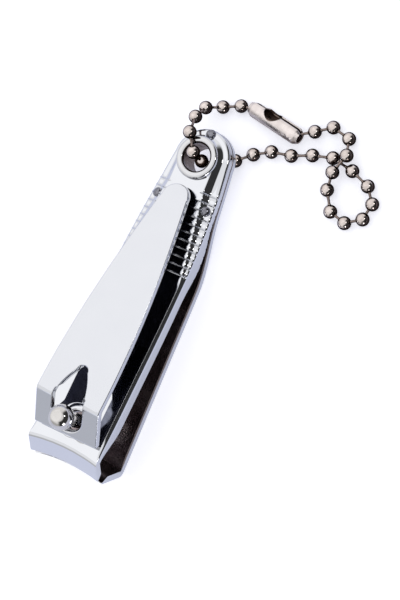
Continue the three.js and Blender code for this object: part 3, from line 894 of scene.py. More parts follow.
@dataclass
class UpperArm(PressedArm):
    """The upper arm: a raised middle strip, sloping shoulders, grip ribs, pips and a collar."""

    name: str = "upper_arm_sheet"
    body: str = "upper_arm"
    slot: str = "arm_steel"
    finish: MetalFinish = ARM_STEEL
    faces_up: bool = True
    sheet: float = 1.9
    wall_sheet: float = 1.3
    rear_sheet: float = 1.3
    strip_top: float = 7.7
    shoulder: float = 1.55
    front_shoulder: float = 0.4
    full_shoulder_y: float = 23.0
    narrow_shoulder_y: float = 5.0
    front_strip_half: float = 6.95
    rim: float = 0.55
    spring_rear_y: float = 24.0
    spring_length: float = 34.0
    rise: float = 0.132
    edge_set: float = 0.4
    face_drop: float = 3.5
    bend_round: float = 0.8
    rib_count: int = 11
    rib_pitch: float = 1.56
    rib_half: float = 0.2
    rib_height: float = 0.22
    rib_fade: tuple[float, float] = (3.2, 3.7)
    first_rib_y: float = 22.55
    pip_y: float = 19.6
    pip_side: float = 5.35
    rear_pip_y: float = 33.3
    hole: float = 1.9
    eyelet_hole: float = 3.42
    collar: float = 3.4
    collar_height: float = 0.35
    bushing: float = 0.15
    skirt: float = 0.9
    skirt_y: tuple[float, ...] = (-28.0, -24.0, 9.0, 17.0)
    deep_skirt_y: tuple[float, ...] = (2.0, 9.0, 12.0, 18.0)
    # Where the painted reflection of the lever lies on the arm's top.
    painted_reflection_x: tuple[float, float] = (3.9, 6.55)
    painted_reflection_y: tuple[float, float] = (-27.2, -8.0)
    pip_reach: float = 1.1

    def strip(self, y: float) -> float:
        """Height of the raised middle strip, without its ribs."""
        bent = Curve.clamp(self.spring_rear_y - y, 0, self.spring_length)
        straight = max(self.spring_rear_y - self.spring_length - y, 0)
        return self.strip_top + self.rise * (bent * bent / (2 * self.spring_length) + straight)

    def rib(self, x: float, y: float) -> float:
        """Height of the grip ribs above the strip, whose middle they leave smooth."""
        lift = 0.0
        for k in range(self.rib_count):
            off = abs(y - (self.first_rib_y - k * self.rib_pitch))
            if off < self.rib_half:
                lift = self.rib_height * (0.5 + 0.5 * math.cos(math.pi * off / self.rib_half))
        return lift * Curve.ease(abs(x), *self.rib_fade)

    def shoulder_share(self, y: float) -> float:
        """Share of the full shoulder: 0 at the front, 1 at the rear."""
        length = self.full_shoulder_y - self.narrow_shoulder_y
        return Curve.clamp((y - self.narrow_shoulder_y) / length)

    def flat_edge(self, y: float) -> float:
        """Half width of the raised strip at a place along the clipper."""
        widening = self.flat_half - self.front_strip_half
        return self.front_strip_half + widening * self.shoulder_share(y)

    @staticmethod
    def stepped(across: float) -> float:
        """Share of the shoulder's depth: a short step, then a gentler slope, with soft knees.

        Args:
            across: Share of the shoulder's width, from the strip's edge outwards.

        Returns:
            The share of the depth that is reached there.
        """
        depth, here, slope = 0.0, 0.0, 0.0
        for there, next_slope in ((0.08, 1.866), (0.38, 1.866), (0.52, 0.427), (1.0, 0.427)):
            run = Curve.clamp(across - here, 0, there - here)
            depth += run * (slope + (next_slope - slope) * run / (there - here) / 2)
            here, slope = there, next_slope
        return depth

    def drop(self, x: float, y: float) -> float:
        """Depth of the shoulder below the strip, which fades out over the bowed jaw."""
        reach = math.hypot(x, max(y - PLAN.eyelet_y, 0))
        edge = self.flat_edge(y)
        across = max(reach - edge, 0) / (PLAN.half_width(y) - edge)
        depth = self.front_shoulder + (self.shoulder - self.front_shoulder) * self.shoulder_share(y)
        return depth * self.stepped(across) * Curve.ease(y, PLAN.crease_y, PLAN.bow_y)

    def height(self, x: float, y: float) -> float:
        """Height of the outer surface at a place in plan."""
        return self.strip(y) + self.rib(x, y) - self.drop(x, y)

    def crease(self) -> Vector:
        """Side view of the line where the arm bends down into the jaw."""
        return Vector((PLAN.crease_y, self.strip(PLAN.crease_y)))

    def wall(self) -> list[Vector]:
        """Side view (y, z) of the rounded bend and the jaw wall, from the last row on."""
        crease = self.crease()
        edge = Vector((PLAN.jaw_y + self.edge_set, crease.y - self.face_drop))
        back = crease + Vector((1, -self.rise))
        bend = Curve.corner(back, crease, edge, self.bend_round, 8)
        line = bend + [bend[-1].lerp(edge, t) for t in (0.25, 0.5, 0.75, 1)]
        return [p - Vector((0, bend[0].y)) for p in line]

    def rows(self) -> list[float]:
        """Places of the blank's rows from the eyelet to the jaw's bend."""
        rows = Curve.spread(PLAN.eyelet_y, self.first_rib_y + self.rib_pitch / 2, 7)
        for k in range(self.rib_count):
            middle = self.first_rib_y - k * self.rib_pitch
            rows += Curve.spread(middle + self.rib_half, middle - self.rib_half, 8)
            rows.append(middle - self.rib_pitch / 2)
        rows += Curve.spread(rows[-1], PLAN.bow_y, 20)[1:]
        return rows + Curve.spread(PLAN.bow_y, self.wall_start(), 14)[1:]

    def wall_start(self) -> float:
        """Where the rounded bend of the jaw starts."""
        back = Vector((1, -self.rise)).normalized()
        return PLAN.crease_y + back.x * self.bend_round

    def sheet_at(self, y: float) -> float:
        """Thickness of the sheet at a place along the clipper."""
        share = Curve.clamp((self.spring_rear_y - y) / (self.spring_rear_y + 26))
        full = self.rear_sheet + (self.sheet - self.rear_sheet) * share
        near_wall = 1 - Curve.ease(y, PLAN.crease_y + 1.2, PLAN.crease_y + 4)
        return full + (self.wall_sheet - full) * near_wall

    def pip(self, x: float, y: float) -> Piece:
        """A small round knob, square to the surface under it.

        Args:
            x: Its place across the arm.
            y: Its place along the arm.

        Returns:
            The knob, sunk a little into the sheet.
        """
        step = 0.05
        slope_x = (self.drop(x + step, y) - self.drop(x - step, y)) / (2 * step)
        slope_y = (self.drop(x, y + step) - self.drop(x, y - step)) / (2 * step)
        axis = Vector((slope_x, slope_y, 1)).normalized()
        foot = (x, y, self.strip(y) - self.drop(x, y))
        rise = [(1.0, -0.4), (1.02, 0.02), (0.93, 0.12), (0.9, 0.3), (0.78, 0.47)]
        crown = [(0.6, 0.58), (0.35, 0.64), (0, 0.66)]
        knob = Bench.turned("pip", [(0, -0.4), *rise, *crown], 32, foot, axis)
        Bench.shade(knob, 50)
        return knob

    def seat(self) -> Piece:
        """The raised round seat with its bushing, which lines the post's hole.

        Returns:
            The seat, square to the sloping front of the arm.
        """
        axis = Vector((0, self.rise, 1)).normalized()
        outer, top, inner = self.collar, self.collar_height, self.hole
        profile = [(inner, -self.sheet + 0.2), (inner, top - 0.1), (inner + 0.1, top)]
        profile += [(outer - 0.2, top), (outer - 0.08, top - 0.06), (outer, top - 0.2)]
        profile += [(outer, -0.3), (inner + 0.3, -0.5), (inner + 0.3, -self.sheet + 0.2)]
        foot = (0, PLAN.pin_y, self.strip(PLAN.pin_y))
        ring = Bench.turned("seat", [*profile, profile[0]], 96, foot, axis)
        Bench.shade(ring, 50)
        return ring

    def turned_down(self, y: float) -> float:
        """How far the rim's lower side is turned down at a place along the clipper."""
        return self.skirt * (Curve.hump(y, self.skirt_y) + Curve.hump(y, self.deep_skirt_y))

    def is_inside(self, place: Vector, normal: Vector) -> bool:
        """Says whether a face lies on the arm's unpolished inner side, which is also darkened as
        painted shade between the arms.
        """
        return normal.z < -0.25

    def on_top(self, p: Vector) -> bool:
        """Says whether a corner lies on the upper side of the sheet."""
        return p.z > self.height(p.x, p.y) - self.sheet_at(p.y) / 2

    def is_painted_reflection(self, place: Vector, normal: Vector) -> bool:
        """Says whether a face gets the painted reflection of the lever's dark side, as it lies at
        rest.
        """
        (left, right), (front, rear) = self.painted_reflection_x, self.painted_reflection_y
        return normal.z > 0.5 and left < place.x < right and front < place.y < rear

    def is_pip(self, place: Vector, normal: Vector) -> bool:
        """Says whether a face belongs to a pressed knob."""
        above = place.z - self.strip(place.y) + self.drop(place.x, place.y)
        offsets = [math.hypot(place.x - x, place.y - y) for x, y in self.pip_places()]
        return min(offsets) < self.pip_reach and above > 0.1

    def pip_places(self) -> list[tuple[float, float]]:
        """Places of the two side knobs and of the rear one."""
        return [(-self.pip_side, self.pip_y), (self.pip_side, self.pip_y), (0, self.rear_pip_y)]

    def detail(self, piece: Piece) -> None:
        """Cuts the holes and adds the knobs and the post's seat."""
        Bench.drill(piece, PLAN.pin_y, self.hole + self.bushing, THROUGH)
        Bench.drill(piece, PLAN.eyelet_y, self.eyelet_hole, THROUGH)
        Bench.join(piece, [*(self.pip(x, y) for x, y in self.pip_places()), self.seat()])


@dataclass
class LowerArm(PressedArm):
    """The lower arm: a flat foot, a rise to the rear pad and a jaw wall that stands up."""

    name: str = "lower_arm_sheet"
    body: str = "lower_arm_and_eyelet"
    slot: str = "arm_steel"
    finish: MetalFinish = ARM_STEEL
    faces_up: bool = False
    sheet: float = 1.5
    wall_sheet: float = 1.3
    rear_sheet: float = 1.3
    rear_lift: float = 3.25
    foot_rear_y: float = 5.0
    pad_front_y: float = 20.0
    bend_y: float = -32.1
    edge_height: float = 7.01
    bend_round: float = 1.15
    hole: float = 1.75
    recess: float = 2.6
    recess_depth: float = 0.9
    eyelet_hole: float = 3.42

    def lift(self, y: float) -> float:
        """Share of the rear pad's lift at a place along the arm."""
        return Curve.ease(y, self.foot_rear_y, self.pad_front_y)

    def height(self, x: float, y: float) -> float:
        """Height of the underside at a place in plan."""
        return self.rear_lift * self.lift(y)

    def rows(self) -> list[float]:
        """Places of the blank's rows from the eyelet to the jaw's bend."""
        rows = Curve.spread(PLAN.eyelet_y, self.pad_front_y, 8)
        rows += Curve.spread(self.pad_front_y, self.foot_rear_y, 30)[1:]
        rows += Curve.spread(self.foot_rear_y, PLAN.bow_y, 14)[1:]
        return rows + Curve.spread(PLAN.bow_y, self.bend_y + self.bend_round, 12)[1:]

    def wall(self) -> list[Vector]:
        """Side view (y, z) of the rounded bend and the jaw wall, from the last row on."""
        bend = Vector((self.bend_y, 0))
        edge = Vector((PLAN.jaw_y, self.edge_height))
        line = Curve.corner(bend + Vector((1, 0)), bend, edge, self.bend_round, 10)
        return line + [line[-1].lerp(edge, t) for t in (0.25, 0.5, 0.75, 1)]

    def sheet_at(self, y: float) -> float:
        """Thickness of the sheet at a place along the clipper."""
        full = self.sheet + (self.rear_sheet - self.sheet) * self.lift(y)
        near_wall = 1 - Curve.ease(y, self.bend_y + 1, self.bend_y + 4)
        return full + (self.wall_sheet - full) * near_wall

    def is_inside(self, place: Vector, normal: Vector) -> bool:
        """Says whether a face lies on the arm's unpolished inner side, which is also darkened as
        painted shade between the arms.
        """
        behind_edge = place.y - PLAN.set_back(place.x, PLAN.jaw_y) > PLAN.jaw_y + 0.4
        return normal.z > 0.2 and behind_edge

    def on_top(self, p: Vector) -> bool:
        """Says whether a corner lies on the upper side of the sheet."""
        return p.z > self.height(p.x, p.y) + self.sheet_at(p.y) / 2

    def detail(self, piece: Piece) -> None:
        """Cuts the holes and the recess for the post's foot."""
        Bench.drill(piece, PLAN.pin_y, self.hole, THROUGH)
        Bench.drill(piece, PLAN.eyelet_y, self.eyelet_hole, THROUGH)
        Bench.drill(piece, PLAN.pin_y, self.recess, self.recess_depth)


@dataclass
class Lever:
    """The folding lever: a tapering plate bent down into a flange, with a drop-shaped opening."""

    half_width: float = 6.92
    sheet: float = 1.3
    bar_y: float = -27.4
    bar_z: float = 13.65
    tip_y: float = 22.5
    tip_z: float = 10.0
    tip_half: float = 2.7
    tip_round: float = 2.6
    bar_width: float = 0.9
    flange_angle: float = 36.6
    flange_reach: float = 7.53
    bend_round: float = 0.8
    opening: float = 3.4
    opening_at_bend: float = 3.3
    tail: float = 7.0
    tail_round: float = 1.1
    edge_round: float = 0.26
    cutter_depth: float = 3.0

    def __post_init__(self) -> None:
        """Finds the side view's directions and its bend."""
        angle = math.radians(self.flange_angle)
        self.bar = Vector((self.bar_y, self.bar_z))
        self.flange = Vector((math.cos(angle), math.sin(angle)))
        self.outward = Vector((-self.flange.y, self.flange.x))
        self.bend = self.bar + self.flange * self.flange_reach + self.outward * self.sheet / 2
        self.tip = Vector((self.tip_y, self.tip_z))
        self.plate = (self.tip - self.bend).normalized()

    def side_view(self) -> list[Vector]:
        """Closed side view of the bent sheet."""
        end = self.bar - self.flange * self.bar_width / 2
        end_top = end + self.outward * self.sheet / 2
        end_under = end - self.outward * self.sheet / 2
        down = Vector((self.plate.y, -self.plate.x))
        tip_top = self.tip + self.plate * 2
        tip_under = tip_top + down * self.sheet
        inner = Curve.crossing(end_under, self.flange, tip_under, self.plate)
        top = Curve.corner(tip_top, self.bend, end_top, self.bend_round, 12)
        under = Curve.corner(end_under, inner, tip_under, self.bend_round / 3, 6)
        return [tip_top, *top, end_top, end_under, *under, tip_under]

    def outline(self) -> list[Vector]:
        """Plan outline, from one side of the flange round the tip to the other."""
        half, shoulder = self.half_width, self.tip_y - self.tip_round
        length = shoulder - self.bend.x
        start = Vector((half, self.bend.x))
        handle = Vector((half, self.bend.x + length * 0.33))
        flare = Vector((self.tip_half + length * 0.064, shoulder - length * 0.35))
        side = Curve.bezier(start, handle, flare, Vector((self.tip_half, shoulder)), 48)
        angles = [math.radians(a) for a in Curve.spread(0, 180, 40)][1:-1]
        nose = [
            Vector((self.tip_half * math.cos(a), shoulder + self.tip_round * math.sin(a)))
            for a in angles
        ]
        back = [Vector((-p.x, p.y)) for p in reversed(side)]
        front = [Vector((-half, self.bar_y - 5)), Vector((half, self.bar_y - 5))]
        return [*side, *nose, *back, *front]

    def cutter(self, shape: Sequence[Vector], leg: Vector) -> Piece:
        """A cutter square to one leg of the sheet.

        Args:
            shape: Outline whose Y runs along the leg from the bend.
            leg: The leg's direction in the side view.

        Returns:
            The cutter, longer than the sheet is thick.
        """
        along = Vector((0, leg.x, leg.y))
        across = Vector((1, 0, 0))
        normal = across.cross(along)
        bend = Vector((0, self.bend.x, self.bend.y))
        corners = [bend + across * p.x + along * p.y for p in shape]
        corners = [corner - normal * self.cutter_depth for corner in corners]
        return Bench.prism("cutter", corners, normal * 2 * self.cutter_depth)

    def opening_shapes(self) -> tuple[list[Vector], list[Vector]]:
        """Outlines of the opening's round part, in the flange, and of its tail, in the plate."""
        at_bend = self.opening_at_bend
        centre = self.flange_reach - self.bar_width / 2 - self.opening
        start = -self.bend_round
        arc = Curve.arc(Vector((0, centre)), self.opening, 0, 180, 48)
        rounded = [Vector((at_bend, start)), *arc, Vector((-at_bend, start))]
        tail_y = self.tail - self.tail_round
        handle = Vector((at_bend * 0.9, tail_y / 2))
        first, last = Vector((at_bend, start)), Vector((self.tail_round, tail_y))
        side = Curve.bow(first, handle, last, 20)
        nose = Curve.arc(Vector((0, tail_y)), self.tail_round, 0, 180, 20)[1:-1]
        tail = [*side, *nose, *(Vector((-p.x, p.y)) for p in reversed(side))]
        return rounded, tail

    @staticmethod
    def is_painted_blue_reflection(place: Vector, normal: Vector) -> bool:
        """Says whether a face looks ahead and up, as the flange's outer side does; these faces get a
        bluer tint, a painted reflection of the table.
        """
        return normal.y < -0.45 and normal.z > 0.3

    @staticmethod
    def is_under(place: Vector, normal: Vector) -> bool:
        """Says whether a face lies on the plate's file-cut underside, whose near-black tint is also a
        painted shade under the lever.
        """
        return normal.z < -0.6

    def build(self) -> Piece:
        """Makes the lever.

        Returns:
            The finished lever.
        """
        wide = self.half_width + 2
        profile = [(-wide, p.x, p.y) for p in self.side_view()]
        piece = Bench.prism("lever_sheet", profile, (2 * wide, 0, 0))
        outline = [(p.x, p.y, -5) for p in self.outline()]
        Bench.cut(piece, Bench.prism("outline", outline, (0, 0, 40)), Cut.DOWN_TO)
        rounded, tail = self.opening_shapes()
        Bench.cut(piece, self.cutter(rounded, -self.flange))
        Bench.cut(piece, self.cutter(tail, self.plate))
        Bench.soften(piece, self.edge_round, 40)
        LEVER_STEEL.dress(piece)
        # The flange's outer side gets a bluer tint: a painted reflection of the table.
        BLUE_REFLECTION_STEEL.line(piece, self.is_painted_blue_reflection)
        # The underside gets near-black steel: its file-cut finish and painted shade under the lever.
        FILE_STEEL_AND_SHADE.line(piece, self.is_under)
        Pieces.place(piece, "lever", "lever_steel", ["lever"])
        return piece


@dataclass
class Post:
    """The turned post: a foot under the lower arm, a shank, a neck and a flat-topped ball."""

    shank: float = 1.4
    neck: float = 1.1
    foot: float = 2.3
    foot_low: float = 0.15
    foot_sheet: float = 0.5
    shank_top: float = 12.86
    ball: float = 2.4
    ball_z: float = 18.0
    flat: float = 1.05

    def profile(self) -> list[tuple[float, float]]:
        """Radius and height of the points from the foot's middle to the ball's flat."""
        low, high = self.foot_low, self.foot_low + self.foot_sheet
        foot = [(0, low), (self.foot - 0.12, low), (self.foot, low + 0.12)]
        foot += [(self.foot, high - 0.08), (self.foot - 0.08, high), (self.shank + 0.1, high)]
        shank = [(self.shank, high + 0.1), (self.shank, self.shank_top)]
        shank += [(self.neck, self.shank_top + self.shank - self.neck)]
        start = -math.acos(self.neck / self.ball)
        end = math.acos((self.flat + 0.08) / self.ball)
        ball = [
            (self.ball * math.cos(a), self.ball_z + self.ball * math.sin(a))
            for a in Curve.spread(start, end, 30)
        ]
        top = self.ball_z + math.sqrt(self.ball**2 - self.flat**2)
        crown = [(self.flat + 0.02, top - 0.012), (self.flat - 0.06, top)]
        crown += [(self.flat / 2, top + 0.01)]
        return [*foot, *shank, *ball, *crown, (0, top + 0.012)]

    def build(self) -> Piece:
        """Makes the post.

        Returns:
            The finished post.
        """
        piece = Bench.turned("post_pin", self.profile(), 72, (0, PLAN.pin_y, 0))
        Bench.shade(piece, 35)
        POST_STEEL.dress(piece)
        Pieces.place(piece, "post", "post_steel", ["post"])
        return piece


@dataclass
class Eyelet:
    """The eyelet: a tube through both arms with a thick roll on top and a thin lip below."""

    bore: float = 2.67
    wall: float = 0.45
    roll: float = 4.17
    roll_foot: float = 7.85
    roll_seat: float = 0.2
    roll_height: float = 0.65
    lip: float = 3.95
    lip_top: float = 2.95
    lip_height: float = 0.3
    # Height of the bore's top that keeps the chrome, above the painted shade.
    unshaded_rim: float = 0.3

    def half_round(
        self, reach: float, base: float, height: float, turn: int
    ) -> list[tuple[float, float]]:
        """Points of a half-round roll from the outside over its crown to the bore.

        Args:
            reach: Outer radius of the roll.
            base: Height of its widest line.
            height: Height of its crown over that line.
            turn: 1 for a roll that points up, -1 for one that points down.

        Returns:
            Radius and height of each point.
        """
        middle, span = (reach + self.bore) / 2, (reach - self.bore) / 2
        angles = [math.radians(a) for a in Curve.spread(0, 180, 20)]
        return [(middle + span * math.cos(a), base + turn * height * math.sin(a)) for a in angles]

    def is_painted_bore_shade(self, place: Vector, normal: Vector) -> bool:
        """Says whether a face lies in the bore, below its rim, where a darker tint paints shade."""
        from_axis = math.hypot(place.x, place.y - PLAN.eyelet_y)
        return place.z < self.roll_foot - self.unshaded_rim and from_axis < self.bore + 0.13

    def build(self) -> Piece:
        """Makes the eyelet.

        Returns:
            The finished eyelet.
        """
        outer = self.bore + self.wall
        top = self.half_round(self.roll, self.roll_foot + self.roll_seat, self.roll_height, 1)
        low = self.half_round(self.lip, self.lip_top, self.lip_height, -1)
        profile = [(outer, self.lip_top), (outer, self.roll_foot)]
        profile += [(self.roll - 0.2, self.roll_foot), *top, *reversed(low)]
        piece = Bench.turned("eyelet_ring", [*profile, profile[0]], 112, (0, PLAN.eyelet_y, 0))
        Bench.shade(piece, 40)
        EYELET_STEEL.dress(piece)
        # The bore below its rim gets a darker finish: painted shade.
        TUBE_INSIDE_SHADE.line(piece, self.is_painted_bore_shade)
        Pieces.place(piece, "lower_arm_and_eyelet", "eyelet_steel", ["eyelet"])
        return piece


@dataclass
class BallChain:
    """The ball chain: hollow balls on short links, closed by a slotted connector."""

    ball: float = 1.3
    link: float = 0.25
    link_end: float = 0.34
    eye: float = 0.42
    eye_lip: float = 0.05
    eye_depth: float = 0.3
    tube: float = 11.9
    tube_radius: float = 1.65
    tube_wall: float = 0.3
    slot_width: float = 0.9
    slot_tilt: float = 31.0
    notch: float = 1.5
    notch_length: float = 1.85
    notch_tilt: float = 12.0
    notch_offset: float = 0.9
    mouth: float = 0.6
    link_start: float = 0.8
    # Normal heights below which the balls take their painted shade.
    half_shade_below: float = 0.64
    deep_shade_below: float = 0.56
    bump_angle: float = 95.0
    bump_spread: float = 22.0
    bump_from_end: float = 1.9
    bump_length: float = 0.55
    bump_height: float = 0.14
    crimp: float = 0.28
    crimp_length: float = 1.0
    fold: float = 0.3
    fold_from_end: tuple[float, float] = (4.4, 2.2)
    route: tuple[tuple[float, float, float], ...] = (
        (4.4, 41.05, 1.67), (1.1, 40.7, 1.3), (-2.3, 39.3, 1.35), (-4.75, 37.9, 3.1),
        (-4.45, 35.4, 6.3), (-2.6, 32.1, 9.8), (-0.8, 28.9, 8.8), (-0.1, 28.1, 5.4),
        (1.25, 28.85, 2.05), (4.4, 30.7, 1.3), (7.3, 33, 1.3), (10.5, 34.7, 1.3),
        (14.5, 35.35, 1.3), (18.4, 36.85, 1.3), (22.4, 37.75, 1.3), (26.9, 36.8, 1.3),
        (30.85, 35.2, 1.3), (33, 32.45, 1.3), (32.4, 29.25, 1.3), (29.4, 27.4, 1.3),
        (26, 28.4, 1.3), (23.75, 31.9, 1.3), (23.8, 35.2, 2.4), (25.1, 39, 2.4),
        (23.85, 42.1, 1.3), (20.1, 43.05, 1.3), (17, 41.1, 1.3), (13.75, 39.15, 1.67),
    )

    def ball_master(self) -> Piece:
        """A hollow-looking ball with a rimmed eye at each pole, at the origin.

        Returns:
            The master that every ball is a copy of.
        """
        Bench.clear()
        bpy.ops.mesh.primitive_uv_sphere_add(segments=32, ring_count=24, radius=self.ball * MM)
        piece = bpy.context.object
        for end in (1, -1):
            Bench.open(piece, Pick.FACES)
            rim = math.cos(math.asin(self.eye / self.ball)) * self.ball
            Bench.select(piece, Pick.FACES, lambda p: p.z * end > rim - 0.02)
            bpy.ops.mesh.inset(thickness=self.eye_lip * MM)
            step = (0, 0, -end * self.eye_depth * MM)
            bpy.ops.mesh.extrude_region_move(TRANSFORM_OT_translate={"value": step})
            Bench.clear()
        Bench.shade(piece, 40)
        return piece

    def link_master(self) -> Piece:
        """A link one millimetre long that rises from the origin, wider where it enters a ball.

        Returns:
            The master that every link is a copy of.
        """
        wide, thin = self.link_end, self.link
        profile = [(0, 0), (wide, 0), (wide, 0.12), (thin, 0.3)]
        profile += [(thin, 0.7), (wide, 0.88), (wide, 1), (0, 1)]
        piece = Bench.turned("link", profile, 20)
        Bench.shade(piece, 50)
        return piece

    def build_balls(self) -> None:
        """Makes the balls, each with the link towards the next one."""
        ball, link = self.ball_master(), self.link_master()
        centres = [Vector(p) for p in self.route]
        sunk = self.ball * self.link_start
        for i, centre in enumerate(centres):
            before = centres[max(i - 1, 0)]
            after = centres[min(i + 1, len(centres) - 1)]
            turn = UP.rotation_difference(after - before).to_matrix().to_4x4()
            name = f"ball_{i + 1:02d}"
            piece = Bench.copy_of(ball, name, Matrix.Translation(centre * MM) @ turn)
            if i + 1 < len(centres):
                ahead = after - centre
                length = ahead.length - 2 * sunk
                foot = centre + ahead.normalized() * sunk
                turn = UP.rotation_difference(ahead).to_matrix().to_4x4()
                scale = Matrix.Scale(length, 4, UP)
                place = Matrix.Translation(foot * MM) @ turn @ scale
                Bench.join(piece, [Bench.copy_of(link, "link_copy", place)])
            CHAIN_NICKEL.dress(piece)
            # Painted shade: the balls darken where their faces turn away from the top.
            HALF_SHADE_NICKEL.line(piece, lambda p, normal: normal.z < self.half_shade_below)
            DEEP_SHADE_NICKEL.line(piece, lambda p, normal: normal.z < self.deep_shade_below)
            # The links take their darker finish: painted shade between the balls.
            LINK_NICKEL_PAINTED_SHADE.line(piece, lambda p, normal: (p - centre).length > self.ball + 0.01)
            Pieces.place(piece, "chain", "chain_nickel", [f"bead_{i + 1:02d}"])
        for master in (ball, link):
            bpy.data.objects.remove(master)

    def connector_form(self, p: Vector) -> Vector:
        """Crimps the connector's ends, folds a lip back and presses a bump beside the slot."""
        half = self.tube / 2
        angle = math.degrees(math.atan2(p.y, p.x)) % 360
        across = (angle - self.bump_angle) / self.bump_spread
        along = (p.z - half + self.bump_from_end) / self.bump_length
        bump = self.bump_height * (1 - Curve.ease(math.hypot(across, along), 0, 1))
        squeeze = 1 - self.crimp * Curve.ease(abs(p.z), half - self.crimp_length, half) + bump
        if angle > 180:
            start, end = (half - reach for reach in self.fold_from_end)
            angle = 180 + (angle - 180) * (1 - self.fold * Curve.ease(-p.z, start, end))
        turn = math.radians(angle)
        reach = math.hypot(p.x, p.y) * squeeze
        return Vector((reach * math.cos(turn), reach * math.sin(turn), p.z))

    @staticmethod
    def faces_away(mesh: bpy.types.Mesh) -> bool:
        """Says whether the tube's faces look away from its axis."""
        return sum(f.normal.xy.dot(f.center.xy) for f in mesh.polygons) >= 0

    def build_connector(self) -> Piece:
        """Makes the connector: a rolled tube with a slot, a round notch and a mouth.

        Returns:
            The finished connector.
        """
        centres = [Vector(p) for p in self.route]
        first, last, leaving = centres[0], centres[-1], centres[-2]
        opening = math.degrees(math.asin(self.slot_width / 2 / self.tube_radius))
        arc = Curve.arc(Vector((0, 0)), self.tube_radius, opening, 360 - opening, 56)
        half = self.tube / 2
        line = [(p.x, p.y, -half) for p in arc]
        piece = Bench.start("connector_tube", line[0])
        Bench.trace(line)
        Bench.select_all()
        for _ in range(40):
            Bench.pull((0, 0, self.tube / 40))
        Bench.clear()
        Bench.press(piece, self.connector_form)
        Bench.same_way(piece, self.faces_away)
        Bench.modify(piece, "SOLIDIFY", thickness=self.tube_wall * MM, offset=-1)
        tilt = math.radians(self.notch_tilt)
        deep = Vector((math.cos(tilt), math.sin(tilt), 0))
        wide = UP.cross(deep)
        middle = deep * 0.2 - UP * self.notch_offset
        rim = Curve.arc(Vector((0, 0)), 1, 0, 360, 48)[:-1]
        corners = [middle + wide * p.x * self.notch + UP * p.y * self.notch_length for p in rim]
        Bench.cut(piece, Bench.prism("notch", corners, deep * 4))
        along = (last - first).normalized()
        side = Matrix.Rotation(math.radians(self.slot_tilt), 3, along) @ UP.cross(along)
        basis = Matrix((side, along.cross(side), along)).transposed()
        out = basis.inverted() @ (leaving - last).normalized()
        hole = [(0, 0), (self.mouth, 0), (self.mouth, 4), (0, 4)]
        foot = (0, 0, (last - first).length / 2)
        Bench.cut(piece, Bench.turned("mouth", hole, 24, foot, out))
        Bench.soften(piece, 0.06, 50, 2)
        CONNECTOR_NICKEL.dress(piece)
        # The tube's inside gets a darker finish: painted shade.
        TUBE_INSIDE_SHADE.line(piece, lambda p, normal: normal.x * p.x + normal.y * p.y < -0.3)
        piece.matrix_world = Matrix.Translation((first + last) / 2 * MM) @ basis.to_4x4()
        Bench.bake_place(piece)
        Pieces.place(piece, "chain", "connector_nickel", ["chain_connector"])
        return piece


